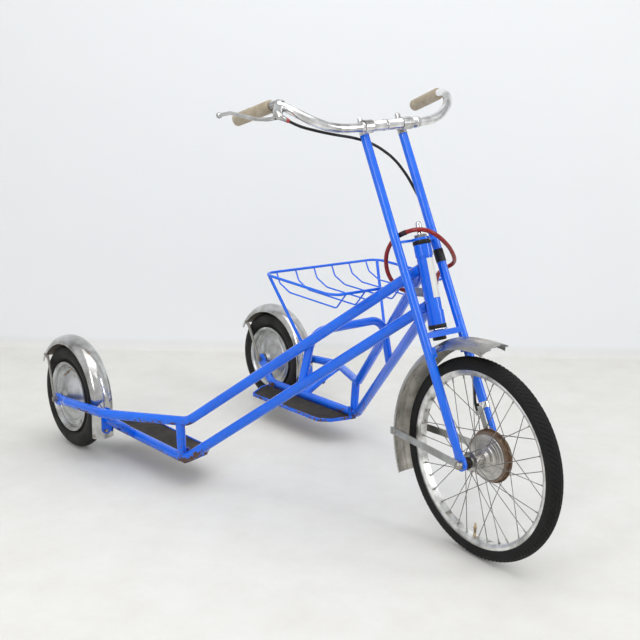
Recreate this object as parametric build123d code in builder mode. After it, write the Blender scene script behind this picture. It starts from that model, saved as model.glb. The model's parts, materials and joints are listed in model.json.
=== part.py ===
from build123d import *
import os
from math import cos, pi, radians, sin, sqrt, tan

# Kick scooter with one steered wheel in front and two free wheels behind.
# Millimetres. +X is ahead, +Y is the rider's left, +Z is up, and the floor is z = 0.

# Stance
wheelbase = 1249.0
rear_track = 757.0
parked_steer = -5.3  # the fork stands turned a little to the rider's right
steer_tilt = 17.95  # steering axis back from upright
fork_rake = 62.2  # front axle ahead of the steering axis
head_length = 197.3

# Front wheel, 40-406
front_tyre_radius = 239.3
front_tyre_section = 19.5
front_tyre_height = 28.3  # from the rim's edge to the tread
front_rim_half_width = 13.5
front_rim_depth = 14.5
rim_wall = 2.0
spoke_count = 36
spoke_radius = 0.95
small_flange_radius = 24.0
small_flange_y = -31.8
drum_flange_radius = 64.0
drum_flange_y = 34.2
flange_thickness = 2.4
drum_radius = 60.0
drum_end_y = 42.0
hub_barrel_radius = 13.0
hub_end_y = -36.0
hub_boss_radius = 29.0
hub_cover_radius = 54.0
hub_hole_ring = 22.0
hub_hole_radius = 2.5
hub_hole_foot = 14.0
hub_hole_count = 4

# Rear wheels, 62-203 on pressed discs
rear_tyre_radius = 155.0
rear_tyre_section = 26.0
rear_rim_radius = 104.0
rear_rim_half_width = 24.0
rear_hub_half_width = 46.0
rear_hub_radius = 20.0
rear_cone_height = 8.5  # from the hub's end to each axle plate

# Tubes
rail_radius = 13.0
post_radius = 12.5
arch_radius = 11.0
blade_radius = 11.0
head_radius = 19.0
head_bore = 15.5
head_sleeve_radius = 21.0
head_sleeve_low = 38.0
head_sleeve_high = 30.0

# Frame, as places ahead of the rear axle, out from the rear wheel's mid plane and above the floor
deck_rail_height = 85.0
upper_kink = (270.0, 52.5, 177.0)
upper_bend = (498.0, -69.0, 191.0)
upper_bend_radii = (90.0, 55.0)
lower_heel = (62.0, -60.5, deck_rail_height)
lower_bend = (492.0, -64.5, deck_rail_height)
lower_bend_radii = (45.0, 70.0)
upper_head_along = 146.7  # where the rails meet the steering axis, up from the head tube's foot
lower_head_along = 57.7
post_setback = 14.0  # behind the lower rail's bend
post_lean = 6.0  # the post's top stands further out than its foot
arch_setback = 289.6  # behind the head's end of the lower rails
arch_shoulder = (-25.9, 29.6)  # out from the upper rail and above it
arch_bend_radius = 55.0
brace_foot = (236.0, -60.5, deck_rail_height)
brace_top = (268.0, 50.5, 170.0)
brace_radius = 12.0
plate_thickness = 7.0
plate_width = 34.0
flattened_length = 62.0

# Decks, hung under the lower rails
deck_back = 62.0
deck_edge = (
    # back from the lower rail's bend, in from the rail
    (52.0, 116.0),
    (22.0, 86.0),
    (3.0, 14.0),
    (3.0, 0.0),
)
deck_heel = (
    # ahead of the deck's back, in from the rail
    (0.0, 0.0),
    (0.0, 38.0),
    (48.0, 116.0),
)
deck_hang = 1.0  # the sheet's underside hangs this far below the rail
deck_sheet = 2.5
deck_rim_height = 10.0
deck_rim_width = 4.0
deck_corner_radius = 18.0
mat_thickness = 4.0
mat_gap = 0.5
deck_tab = (-12.0, -18.0, 14.0, 3.0, 36.0)  # ahead of the bend, out from the rail, length, thickness, height
deck_heel_tab = (22.0, -14.0, 26.0, 4.0, 22.0)  # ahead of the deck's back, then as above

# Rear mudguards
rear_guard_gap = 28.0  # tread to crown
rear_guard_rise = 23.0  # lips to crown
rear_guard_half_width = 33.0
rear_guard_arc = 150.0
rear_guard_drop = 85.0
guard_sheet = 1.2
stay_width = 14.0
stay_thickness = 2.5
stay_angle = 140.0  # the rear stays lean back from straight ahead
stay_tuck = 30.2  # outer face of a stay's tip from the wheel's mid plane
guard_plate_size = (3.0, 42.0, 78.0)
guard_plate_height = 124.0
guard_web_radius = 8.0

# Axles and nuts
axle_radius = 5.0
nut_radius = 9.0
nut_height = 8.0
running_gap = 0.3

# Fork
blade_lean = 8.95  # blades lean back from the steering axis
blade_length = 802.7
front_cone_height = 9.7  # from the brake plate to the left blade
crown_gap = 17.5  # from the front mudguard's crown to the lower bridge
blade_plate_width = 30.0
blade_flattened = 60.0
lug_size = (16.0, 9.0, 24.0)
lug_along = 262.0
headset_radius = 20.0
headset_low = 9.0
headset_high = 9.0
stem_radius = 12.5
lower_bridge_height = 14.0
upper_bridge_height = 6.0
bridge_eye_radius = 21.0
bridge_end_radius = 8.0
locknut_radius = 15.0
locknut_height = 7.0
steer_pin_radius = 7.0
steer_pin_height = 30.0

# Front mudguard
front_guard_gap = 42.7  # tread to crown
front_guard_rise = 14.0  # lips to crown
front_guard_half_width = 40.0
front_guard_start = 95.0
front_guard_end = 200.0
front_guard_tip = 72.0
front_stay_width = 18.0
front_ridge_half_width = 6.0
front_ridge_height = 2.0

# Brake on the front wheel
brake_plate_radius = 56.0
brake_plate_thickness = 3.2
brake_gap = 1.0  # between drum and brake plate
torque_arm_reach = 118.0
torque_arm_width = 16.0
clamp_band = 14.0
clamp_thickness = 2.0
clamp_ears = (12.0, 8.0)  # back from the band, and across
clamp_bolt_radius = 3.5
clamp_bolt_end = 9.0

# Handlebar, measured from its middle: back, out and up
bar_radius = 11.0
bar_sleeve_radius = 12.6
bar_sleeve_ends = (-76.0, 100.0)
bar_reach = 19.0  # bar axis ahead of the blades' axis
bar_rise = 17.5  # bar middle above the blades' tops
bar_tilt = 2.3  # the bar sits a little higher on its left
bar_knee = (0.0, 150.0, 0.0)
bar_shoulder = (26.0, 243.0, 36.0)
bar_crest = (96.0, 258.0, 59.0)
bar_end = (219.0, 281.0, 24.0)
bar_bend_radii = (70.0, 55.0, 30.0)
grip_radius = 15.5
grip_length = 128.0
grip_cap = 5.0
collar_radius = 16.0
collar_widths = (24.0, 30.0)
quill_radius = 11.5
quill_pin_radius = 6.3
quill_pin_height = 49.0

# Brake lever on the right grip: along the grip, out and up from where the grip starts
lever_route = ((-30, 22, -36), (-8, 27, -34), (20, 37, -26), (55, 41, -10), (95, 46, 8), (122, 57, 9))
lever_radius = 4.5
lever_ball = 7.5
lever_clamp_along = -34.0
lever_clamp_width = 18.0
lever_clamp_radius = 14.5

# Brake cable with the fork straight: ahead of the rear axle, left of the middle, above the floor
cable_radius = 3.5
cable_route = (
    (861.0, -268.0, 998.0),
    (858.0, -225.0, 980.0),
    (865.0, -150.0, 962.0),
    (868.0, -75.0, 950.0),
    (876.0, -20.0, 933.0),
    (896.0, 25.0, 898.0),
    (918.0, 49.0, 856.0),
    (940.5, 62.5, 812.0),
)
cable_beside_blade = (
    # up the blade from the axle, back from it, out from it
    (600.0, 10.5, 10.5),
    (205.0, 10.5, 10.5),
    (165.0, 17.5, 2.6),
    (135.0, 19.5, -7.4),
    (108.0, 19.5, -9.4),
)
cable_wire_radius = 0.9
cable_nose_radius = 4.8
tape_span = (472.0, 503.0)  # up the blade from the axle
tape_thickness = 1.2
anchor_radius = 5.5
anchor_height = 10.0
brake_arm_pivot = (-25.0, -20.3)  # ahead of the axle and above it
brake_arm_end = (-54.0, 30.7)
brake_arm_width = 12.0
brake_arm_thickness = 4.0
brake_arm_foot = 47.0

# Cable lock looped round the left blade, in the same way, with the fork as parked
lock_radius = 5.25
lock_barrel_radius = 10.5
lock_barrel_length = 28.0
lock_middle = (1011.7, 20.0, 587.6)
lock_way = (0.62, 0.78, -0.08)
lock_lead = 11.0
lock_route = (
    (1029.0, 51.0, 589.0),
    (1025.0, 62.0, 600.0),
    (1015.0, 74.0, 614.0),
    (1005.0, 90.0, 626.0),
    (1001.0, 112.0, 634.0),
    (1004.0, 124.0, 638.0),
    (1012.0, 131.0, 645.0),
    (1023.0, 127.0, 654.0),
    (1035.0, 113.0, 665.0),
    (1045.0, 94.0, 681.0),
    (1053.0, 71.0, 699.0),
    (1058.0, 48.0, 714.0),
    (1059.0, 28.0, 727.0),
    (1056.0, 9.0, 738.0),
    (1049.0, -5.0, 744.0),
    (1038.0, -16.0, 746.0),
    (1024.0, -25.0, 743.0),
    (1010.0, -32.8, 737.0),
    (996.0, -40.2, 729.0),
    (980.0, -43.2, 716.0),
    (964.0, -40.0, 700.0),
    (950.0, -35.0, 680.0),
    (942.0, -29.0, 659.0),
    (940.0, -23.0, 638.0),
    (944.0, -17.0, 619.0),
    (953.0, -11.0, 605.0),
    (966.0, -7.0, 596.0),
    (980.0, -6.0, 591.0),
)

# Basket
basket_rod = 3.5
basket_wire = 2.0
basket_setback = 105.2  # basket's front behind the head's end of the upper rails
basket_length = 264.0
basket_half_width = 198.0
basket_fall = 0.0502  # drop for each millimetre towards the front
basket_corner = 32.0
basket_depth = 42.0
basket_wire_count = 6
basket_wire_margin = 43.0  # outermost wires in from the rim's sides
basket_step_run = 14.0
basket_step_share = 0.62
basket_wire_back_run = 54.0
basket_wire_front_run = 34.0
basket_wire_bends = (12.0, 25.0, 12.0)
basket_stay_radius = 4.0
basket_stay_setback = 272.2  # its foot behind the head's end of the upper rails
basket_stay_inset = 11.0  # its foot in from the rail's middle

os.makedirs("parts", exist_ok=True)


def unit(vector):
    return Vector(vector).normalized()


# Directions along and across the steering axis and the blades
blade_tilt = steer_tilt + blade_lean
steer_up = Vector(-sin(radians(steer_tilt)), 0, cos(radians(steer_tilt)))
steer_forward = Vector(cos(radians(steer_tilt)), 0, sin(radians(steer_tilt)))
blade_up = Vector(-sin(radians(blade_tilt)), 0, cos(radians(blade_tilt)))
blade_forward = Vector(cos(radians(blade_tilt)), 0, sin(radians(blade_tilt)))

# Sizes that follow from the wheels
front_ring = front_tyre_radius - front_tyre_section
front_rim_radius = front_tyre_radius - front_tyre_height
front_guard_crown = front_tyre_radius + front_guard_gap
front_guard_lip = front_guard_crown - front_guard_rise
rear_guard_crown = rear_tyre_radius + rear_guard_gap
rear_guard_lip = rear_guard_crown - rear_guard_rise
rear_plate_spread = rear_hub_half_width + rear_cone_height + plate_thickness / 2
brake_plate_foot = drum_end_y + brake_gap
front_cone_foot = brake_plate_foot + brake_plate_thickness
blade_across = front_cone_foot + front_cone_height + plate_thickness / 2
stem_rise = sqrt((front_guard_crown + crown_gap) ** 2 - fork_rake**2)
fork_drop = stem_rise + lower_bridge_height + running_gap + headset_low

# The turned tyre just touches the floor
steer_turn = radians(parked_steer)
turned_axle = Vector(0, cos(steer_turn), 0) - steer_forward * sin(steer_turn)
wheel_shift = (steer_forward * (cos(steer_turn) - 1) + Vector(0, sin(steer_turn), 0)) * fork_rake
front_axle_height = front_ring * sqrt(1 - turned_axle.Z**2) + front_tyre_section - wheel_shift.Z
rear_axle_height = rear_tyre_radius

# The origin is under the middle of the whole outline
turned_reach = front_ring * sqrt(1 - turned_axle.X**2) + front_tyre_section
reach_ahead = wheelbase + wheel_shift.X + turned_reach
reach_back = max(rear_tyre_radius, rear_guard_crown * -cos(radians(rear_guard_arc)))
rear_axle_x = (reach_back - reach_ahead) / 2
wheel_out = rear_track / 2


def beside_wheel(ahead, out, up):
    """A point ahead of the rear axle, out from the left rear wheel's mid plane and above the floor."""
    return Vector(rear_axle_x + ahead, wheel_out + out, up)


def ahead_of_axle(ahead, left, up):
    """A point ahead of the rear axle, left of the middle and above the floor."""
    return Vector(rear_axle_x + ahead, left, up)


front_axle = ahead_of_axle(wheelbase, 0, front_axle_height)
head_foot = front_axle + steer_up * fork_drop - steer_forward * fork_rake
steering_axis = Axis(head_foot, steer_up)
upper_head = head_foot + steer_up * upper_head_along
lower_head = head_foot + steer_up * lower_head_along


def head_plane(distance):
    """Plane across the steering axis, at a distance up from the head tube's foot."""
    return Plane(head_foot + steer_up * distance, x_dir=steer_forward, z_dir=steer_up)


finished = []


def keep(piece, label, steered=False):
    """Set a finished piece aside with its name, and whether it turns with the fork."""
    finished.append((piece, label, steered))


def keep_pair(piece, label):
    """Keep a left piece, and its mirror image as the right one."""
    keep(piece, f"{label}_left")
    with BuildPart() as twin:
        add(piece.part.mirror(Plane.XZ))
    keep(twin, f"{label}_right")


def swept_rod(points, bends, radius):
    """A round rod along straight runs joined by arcs."""
    with BuildPart() as rod:
        with BuildLine() as route:
            if bends:
                FilletPolyline(*points, radius=list(bends))
            else:
                Polyline(*points)
        with BuildSketch(Plane(route.line @ 0, z_dir=route.line % 0)):
            Circle(radius)
        sweep(path=route.line)
    return rod


def cord(points, radius, label):
    """A cord's tube, each bend as wide as the runs beside it allow; prints the bends and volumes."""
    bends = []
    for before, corner, after in zip(points, points[1:], points[2:]):
        half_turn = radians((corner - before).get_angle(after - corner)) / 2
        shorter = min((corner - before).length, (after - corner).length)
        bends.append(0.45 * shorter / tan(half_turn))
    tube = swept_rod(points, bends, radius)
    with BuildLine() as path:
        FilletPolyline(*points, radius=bends)
    length = sum(edge.length for edge in path.edges())
    print(label, "bend radii", [round(bend, 1) for bend in bends])
    print(label, "length", round(length, 1), "volume", round(tube.part.volume), round(length * pi * radius**2))
    return tube


def straight_rod(start, end, radius):
    """A round bar between two points."""
    with BuildPart() as bar:
        with BuildSketch(Plane(start, z_dir=end - start)):
            Circle(radius)
        extrude(amount=(end - start).length)
    return bar


def bent_strip(middle, along, out, run, width, thickness):
    """A flat bar bent along a run of (distance along, distance out) pairs, pierced for the axle."""
    outer = [(x, y + thickness) for x, y in reversed(run)]
    side_plane = Plane(middle, x_dir=along, z_dir=along.cross(out))
    with BuildPart() as strip:
        with BuildSketch(side_plane):
            with BuildLine():
                Polyline(*run, *outer, close=True)
            make_face()
        extrude(amount=width / 2, both=True)
        with BuildSketch(Plane(middle, z_dir=(0, 1, 0))):
            Circle(axle_radius)
        extrude(amount=wheelbase, both=True, mode=Mode.SUBTRACT)
    return strip


# Head tube with a sleeve at each end, and the headset's rings
with BuildPart() as head_tube:
    with BuildSketch(head_plane(0)):
        Circle(head_radius)
    extrude(amount=head_length)
    with BuildSketch(head_plane(0)):
        Circle(head_sleeve_radius)
    extrude(amount=head_sleeve_low)
    with BuildSketch(head_plane(head_length - head_sleeve_high)):
        Circle(head_sleeve_radius)
    extrude(amount=head_sleeve_high)
    with BuildSketch(head_plane(0)):
        Circle(head_bore)
    extrude(amount=head_length, mode=Mode.SUBTRACT)
keep(head_tube, "head_tube")

with BuildPart() as head_core:
    with BuildSketch(head_plane(0)):
        Circle(head_sleeve_radius)
    extrude(amount=head_length)

with BuildPart() as headset:
    for foot, height in ((-headset_low, headset_low), (head_length, headset_high)):
        with BuildSketch(head_plane(foot)):
            Circle(headset_radius)
            Circle(stem_radius + running_gap, mode=Mode.SUBTRACT)
        extrude(amount=height)
keep(headset, "headset")

# The frame's left side; every piece of it is kept with its mirror image
frame_rails = []
axle_outer = beside_wheel(0, rear_plate_spread, rear_axle_height)
axle_inner = beside_wheel(0, -rear_plate_spread, rear_axle_height)
upper_corner = beside_wheel(*upper_bend)
lower_corner = beside_wheel(*lower_bend)

# Rails: a round tube whose rear end is flattened into the axle plate
rails = {}
rail_table = (
    # label, axle end, points towards the head, bend radii
    ("upper_rail", axle_outer, (beside_wheel(*upper_kink), upper_corner, upper_head), upper_bend_radii),
    ("lower_rail", axle_inner, (beside_wheel(*lower_heel), lower_corner, lower_head), lower_bend_radii),
)
for label, axle_end, corners, bends in rail_table:
    points = list(corners)
    along = unit(points[0] - axle_end)
    across = unit(along.cross(Vector(0, 1, 0)))
    round_start = axle_end + along * flattened_length
    tube = swept_rod([round_start] + points, bends, rail_radius)
    with BuildPart() as rail:
        add(tube.part)
        with BuildSketch(Plane(round_start, x_dir=across, z_dir=along)):
            Circle(rail_radius)
        with BuildSketch(Plane(axle_end + along * plate_width / 2, x_dir=across, z_dir=along)):
            SlotOverall(plate_width, plate_thickness)
        loft()
        with BuildSketch(Plane(axle_end, x_dir=along, z_dir=(0, 1, 0))):
            with Locations((plate_width / 4, 0)):
                Rectangle(plate_width / 2, plate_width)
            Circle(plate_width / 2)
        extrude(amount=plate_thickness / 2, both=True)
        with BuildSketch(Plane(axle_end, z_dir=(0, 1, 0))):
            Circle(axle_radius)
        extrude(amount=plate_thickness, both=True, mode=Mode.SUBTRACT)
        add(head_core.part, mode=Mode.SUBTRACT)
        split(bisect_by=Plane(head_foot, z_dir=(0, 1, 0)), keep=Keep.TOP)
    rails[label] = rail
    frame_rails += [rail.part, rail.part.mirror(Plane.XZ)]
    keep_pair(rail, label)

# Post between the rails, behind their bends
post_foot = lower_corner - Vector(post_setback, 0, 0)
with BuildPart() as post:
    with BuildSketch(Plane(post_foot)):
        Circle(post_radius)
    with BuildSketch(Plane(post_foot + Vector(0, post_lean, upper_bend[2] - lower_bend[2]))):
        Circle(post_radius)
    loft()
    for rail in rails.values():
        add(rail.part, mode=Mode.SUBTRACT)
post.part = post.part.solids().sort_by(SortBy.VOLUME)[-1]
keep_pair(post, "post")

# Brace ahead of the wheel, flattened where it meets the upper rail
foot = beside_wheel(*brace_foot)
top = beside_wheel(*brace_top)
rise = unit(top - foot)
ahead_of_brace = unit(Vector(0, 1, 0).cross(rise))
with BuildPart() as brace:
    with BuildSketch(Plane(foot, x_dir=ahead_of_brace, z_dir=rise)):
        Circle(brace_radius)
    with BuildSketch(Plane(foot + (top - foot) * 0.45, x_dir=ahead_of_brace, z_dir=rise)):
        Circle(brace_radius)
    with BuildSketch(Plane(top, x_dir=ahead_of_brace, z_dir=rise)):
        SlotOverall(plate_width + 4, plate_thickness)
    loft(ruled=True)
    for rail in rails.values():
        add(rail.part, mode=Mode.SUBTRACT)
brace.part = brace.part.solids().sort_by(SortBy.VOLUME)[-1]
keep_pair(brace, "brace")

# Deck: a pressed tray hung on the lower rail, with a rubber mat in it
deck_floor_height = deck_rail_height - rail_radius - deck_hang
heel_corner = Vector(rear_axle_x + deck_back, lower_corner.Y, deck_rail_height)
outline = [(heel_corner.X + ahead, heel_corner.Y - inward) for ahead, inward in deck_heel]
outline += [(lower_corner.X - back, lower_corner.Y - inward) for back, inward in deck_edge]
with BuildSketch() as deck_face:
    with BuildLine():
        Polyline(*outline, close=True)
    make_face()
    free_corners = deck_face.vertices().filter_by(lambda corner: corner.Y < lower_corner.Y - rail_radius)
    fillet(free_corners, deck_corner_radius)
with BuildPart() as deck:
    with BuildSketch(Plane.XY.offset(deck_floor_height)):
        add(deck_face.sketch)
    extrude(amount=deck_rim_height)
    with BuildSketch(Plane.XY.offset(deck_floor_height + deck_sheet)):
        add(deck_face.sketch)
        offset(amount=-deck_rim_width, kind=Kind.INTERSECTION)
    extrude(amount=deck_rim_height, mode=Mode.SUBTRACT)
    for corner, (ahead, out, length, thickness, height) in (
        (lower_corner, deck_tab),
        (heel_corner, deck_heel_tab),
    ):
        tab_height = deck_floor_height + deck_sheet + height / 2
        with Locations((corner.X + ahead, corner.Y + out, tab_height)):
            Box(length, thickness, height)
    add(rails["lower_rail"].part, mode=Mode.SUBTRACT)
    add(post.part, mode=Mode.SUBTRACT)
deck.part = deck.part.solids().sort_by(SortBy.VOLUME)[-1]
keep_pair(deck, "deck")

with BuildPart() as mat:
    with BuildSketch(Plane.XY.offset(deck_floor_height + deck_sheet)):
        add(deck_face.sketch)
        offset(amount=-deck_rim_width, kind=Kind.INTERSECTION)
    extrude(amount=mat_thickness)
    rail_side = lower_corner - Vector(0, rail_radius + mat_gap, 0)
    split(bisect_by=Plane(rail_side, z_dir=(0, 1, 0)), keep=Keep.BOTTOM)
    add(deck.part, mode=Mode.SUBTRACT)
mat.part = mat.part.solids().sort_by(SortBy.VOLUME)[-1]
keep_pair(mat, "deck_mat")

# Axle with a washer and nut beyond each plate
plate_face = rear_plate_spread + plate_thickness / 2
axle_middle = beside_wheel(0, 0, rear_axle_height)
across_wheel = Plane(axle_middle, z_dir=(0, 1, 0))
nut_foot = plate_face + stay_thickness
with BuildPart() as axle:
    with BuildSketch(across_wheel):
        Circle(axle_radius)
    extrude(amount=nut_foot + nut_height + 2, both=True)
    for end in (-1, 1):
        with BuildSketch(across_wheel.offset(end * nut_foot)):
            RegularPolygon(nut_radius, 6)
        extrude(amount=end * nut_height)
        with BuildSketch(across_wheel.offset(end * (rear_hub_half_width + running_gap))):
            Circle(nut_radius + 1)
        extrude(amount=end * (rear_cone_height - running_gap))
keep_pair(axle, "rear_axle")

# Tyre and pressed disc wheel
wheel_section = Plane(axle_middle, x_dir=(0, 1, 0), z_dir=(1, 0, 0))
wheel_axis = Axis(axle_middle, (0, 1, 0))
bead_half = rear_rim_half_width - 3.5
with BuildPart() as tyre:
    with BuildSketch(wheel_section):
        with Locations((0, rear_tyre_radius - rear_tyre_section)):
            Circle(rear_tyre_section)
        with Locations((0, rear_rim_radius + 2)):
            Rectangle(2 * bead_half, 9)
    revolve(axis=wheel_axis)
keep_pair(tyre, "rear_tyre")

half_profile = (
    # out from the mid plane, radius
    (rear_hub_half_width, axle_radius + running_gap),
    (rear_hub_half_width, rear_hub_radius - 3),
    (rear_hub_half_width - 3, rear_hub_radius),
    (38, 26),
    (16, 70),
    (13, 74),
    (13, 79),
    (16, 81),
    (16, 86),
    (13, 88),
    (13, 92),
    (rear_rim_half_width - 4, 95),
    (rear_rim_half_width, rear_rim_radius - 5),
    (rear_rim_half_width, rear_rim_radius),
    (bead_half + 0.4, rear_rim_radius),
    (bead_half + 0.4, rear_rim_radius - 3.4),
)
mirrored = [(-y, r) for y, r in reversed(half_profile)]
with BuildPart() as disc:
    with BuildSketch(wheel_section):
        with BuildLine():
            Polyline(*half_profile, *mirrored, close=True)
        make_face()
    revolve(axis=wheel_axis)
keep_pair(disc, "rear_wheel")

# Mudguard: a rolled strip from ahead of the axle over the tyre, straight below the axle
guard_section = Plane(axle_middle, x_dir=(0, 1, 0), z_dir=(0, 0, -1))
with BuildPart() as guard:
    with BuildSketch(guard_section) as strip_section:
        with BuildLine():
            outer = ThreePointArc(
                (-rear_guard_half_width, rear_guard_lip),
                (0, rear_guard_crown),
                (rear_guard_half_width, rear_guard_lip),
            )
            inner = ThreePointArc(
                (-rear_guard_half_width + guard_sheet, rear_guard_lip),
                (0, rear_guard_crown - guard_sheet),
                (rear_guard_half_width - guard_sheet, rear_guard_lip),
            )
            Line(outer @ 0, inner @ 0)
            Line(outer @ 1, inner @ 1)
        make_face()
    revolve(axis=Axis(axle_middle, (0, -1, 0)), revolution_arc=rear_guard_arc)
    extrude(strip_section.sketch, amount=rear_guard_drop)
keep_pair(guard, "rear_mudguard")

# Bracket from the brace to the mudguard's front
thick, wide, tall = guard_plate_size
plate_middle = beside_wheel(rear_guard_crown + thick / 2, 0, guard_plate_height)
web_end = beside_wheel(brace_foot[0] + 2 * brace_radius, 0, guard_plate_height)
with BuildPart() as bracket:
    with Locations(plate_middle):
        Box(thick, wide, tall)
    with BuildSketch(Plane(plate_middle, z_dir=(1, 0, 0))):
        Circle(guard_web_radius)
    extrude(amount=(web_end - plate_middle).length)
    add(brace.part, mode=Mode.SUBTRACT)
bracket.part = bracket.part.solids().sort_by(Axis.X)[0]
keep_pair(bracket, "mudguard_bracket")

# Flat stays from the axle's ends up inside the mudguard's lips
stay_way = Vector(cos(radians(stay_angle)), 0, sin(radians(stay_angle)))
stay_run = (
    (-stay_width / 2, plate_face),
    (plate_width / 2 + 3, plate_face),
    (rear_guard_lip - 14, stay_tuck - stay_thickness),
    (rear_guard_lip + 3, stay_tuck - stay_thickness),
)
with BuildPart() as stays:
    for end in (-1, 1):
        strip = bent_strip(axle_middle, stay_way, Vector(0, end, 0), stay_run, stay_width, stay_thickness)
        add(strip.part)
keep_pair(stays, "mudguard_stays")

# Arch between the lower rails, notched over the upper ones
upper_run = upper_head - upper_corner
lower_run = lower_head - lower_corner
arch_foot = lower_head - lower_run * (arch_setback / lower_run.X)
arch_crossing = upper_head - upper_run * ((upper_head.X - arch_foot.X) / upper_run.X)
shoulder = arch_crossing + Vector(0, *arch_shoulder)
arch_points = [
    Vector(arch_foot.X, -arch_foot.Y, arch_foot.Z),
    Vector(shoulder.X, -shoulder.Y, shoulder.Z),
    shoulder,
    arch_foot,
]
arch_bar = swept_rod(arch_points, (arch_bend_radius, arch_bend_radius), arch_radius)
with BuildPart() as cross_arch:
    add(arch_bar.part)
    for rail in frame_rails:
        add(rail, mode=Mode.SUBTRACT)
cross_arch.part = cross_arch.part.solids().sort_by(SortBy.VOLUME)[-1]
keep(cross_arch, "cross_arch")

# Basket: a rim of round rod, wires bent down between its edges, and two stays to the upper rails
rail_under_front = upper_head - upper_run * (basket_setback / upper_run.X)
rail_slope = upper_run.X / sqrt(upper_run.X**2 + upper_run.Z**2)
basket_front = rail_under_front + Vector(0, 0, (rail_radius + basket_rod + running_gap) / rail_slope)


def rim_point(back, out, drop=0.0):
    """A point of the rim's sloping plane, back from its front edge, or below that plane."""
    return Vector(basket_front.X - back, out, basket_front.Z + basket_fall * back - drop)


with BuildPart() as basket_rim:
    for side in (-1, 1):
        rim_corners = [
            rim_point(basket_length, 0),
            rim_point(basket_length, side * basket_half_width),
            rim_point(0, side * basket_half_width),
            rim_point(0, 0),
        ]
        half_rim = swept_rod(rim_corners, [basket_corner] * 2, basket_rod)
        add(half_rim.part)
keep(basket_rim, "basket_rim")

wire_span = 2 * (basket_half_width - basket_wire_margin)
with BuildPart() as basket_wires:
    for k in range(basket_wire_count):
        out = wire_span * (k / (basket_wire_count - 1) - 0.5)
        wire_points = [
            rim_point(basket_length, out),
            rim_point(basket_length - basket_step_run, out, basket_depth * basket_step_share),
            rim_point(basket_length - basket_wire_back_run, out, basket_depth),
            rim_point(basket_wire_front_run, out, basket_depth),
            rim_point(0, out),
        ]
        wire = swept_rod(wire_points, basket_wire_bends, basket_wire)
        add(wire.part)
    add(basket_rim.part, mode=Mode.SUBTRACT)
keep(basket_wires, "basket_wires")

with BuildPart() as basket_stays:
    corner_inset = basket_corner * (1 - sqrt(0.5))
    rail_at_stay = upper_head - upper_run * (basket_stay_setback / upper_run.X)
    for side in (-1, 1):
        stay_top = rim_point(basket_length - corner_inset, side * (basket_half_width - corner_inset))
        stay_foot = Vector(rail_at_stay.X, side * (rail_at_stay.Y - basket_stay_inset), rail_at_stay.Z)
        stay = straight_rod(stay_top, stay_foot, basket_stay_radius)
        add(stay.part)
    add(basket_rim.part, mode=Mode.SUBTRACT)
    for rail in frame_rails:
        add(rail, mode=Mode.SUBTRACT)
keep(basket_stays, "basket_stays")

# Steering stem through the head tube, with the locknut and round-headed bolt on top
stem_foot = -headset_low - running_gap - lower_bridge_height
stem_top = head_length + headset_high + running_gap + upper_bridge_height
with BuildPart() as steering_stem:
    with BuildSketch(head_plane(stem_foot)):
        Circle(stem_radius)
    extrude(amount=stem_top - stem_foot)
    with BuildSketch(head_plane(stem_top)):
        RegularPolygon(locknut_radius, 6)
    extrude(amount=locknut_height)
    with BuildSketch(head_plane(stem_top)):
        Circle(steer_pin_radius)
    extrude(amount=steer_pin_height - steer_pin_radius)
    with Locations(head_plane(stem_top + steer_pin_height - steer_pin_radius).location):
        Sphere(steer_pin_radius)
keep(steering_stem, "steering_stem", steered=True)

# Fork blades: long tubes from the axle up to the handlebar, flattened round the axle
blades = {}
for side, name in ((-1, "right"), (1, "left")):
    foot = front_axle + Vector(0, side * blade_across, 0)
    with BuildPart() as blade:
        with BuildSketch(Plane(foot + blade_up * blade_flattened, x_dir=blade_forward, z_dir=blade_up)):
            Circle(blade_radius)
        extrude(amount=blade_length - blade_flattened)
        with BuildSketch(Plane(foot + blade_up * blade_flattened, x_dir=blade_forward, z_dir=blade_up)):
            Circle(blade_radius)
        with BuildSketch(Plane(foot + blade_up * blade_plate_width / 2, x_dir=blade_forward, z_dir=blade_up)):
            SlotOverall(blade_plate_width, plate_thickness)
        loft()
        with BuildSketch(Plane(foot, x_dir=blade_up, z_dir=(0, 1, 0))):
            with Locations((blade_plate_width / 4, 0)):
                Rectangle(blade_plate_width / 2, blade_plate_width)
            Circle(blade_plate_width / 2)
        extrude(amount=plate_thickness / 2, both=True)
        lug_centre = foot + blade_up * lug_along - Vector(0, side * (blade_radius + lug_size[1] / 2 - 4), 0)
        with Locations(Plane(lug_centre, x_dir=blade_forward, z_dir=blade_up).location):
            Box(*lug_size)
        with BuildSketch(Plane(foot, z_dir=(0, 1, 0))):
            Circle(axle_radius)
        extrude(amount=plate_thickness, both=True, mode=Mode.SUBTRACT)
    blades[name] = blade

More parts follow.
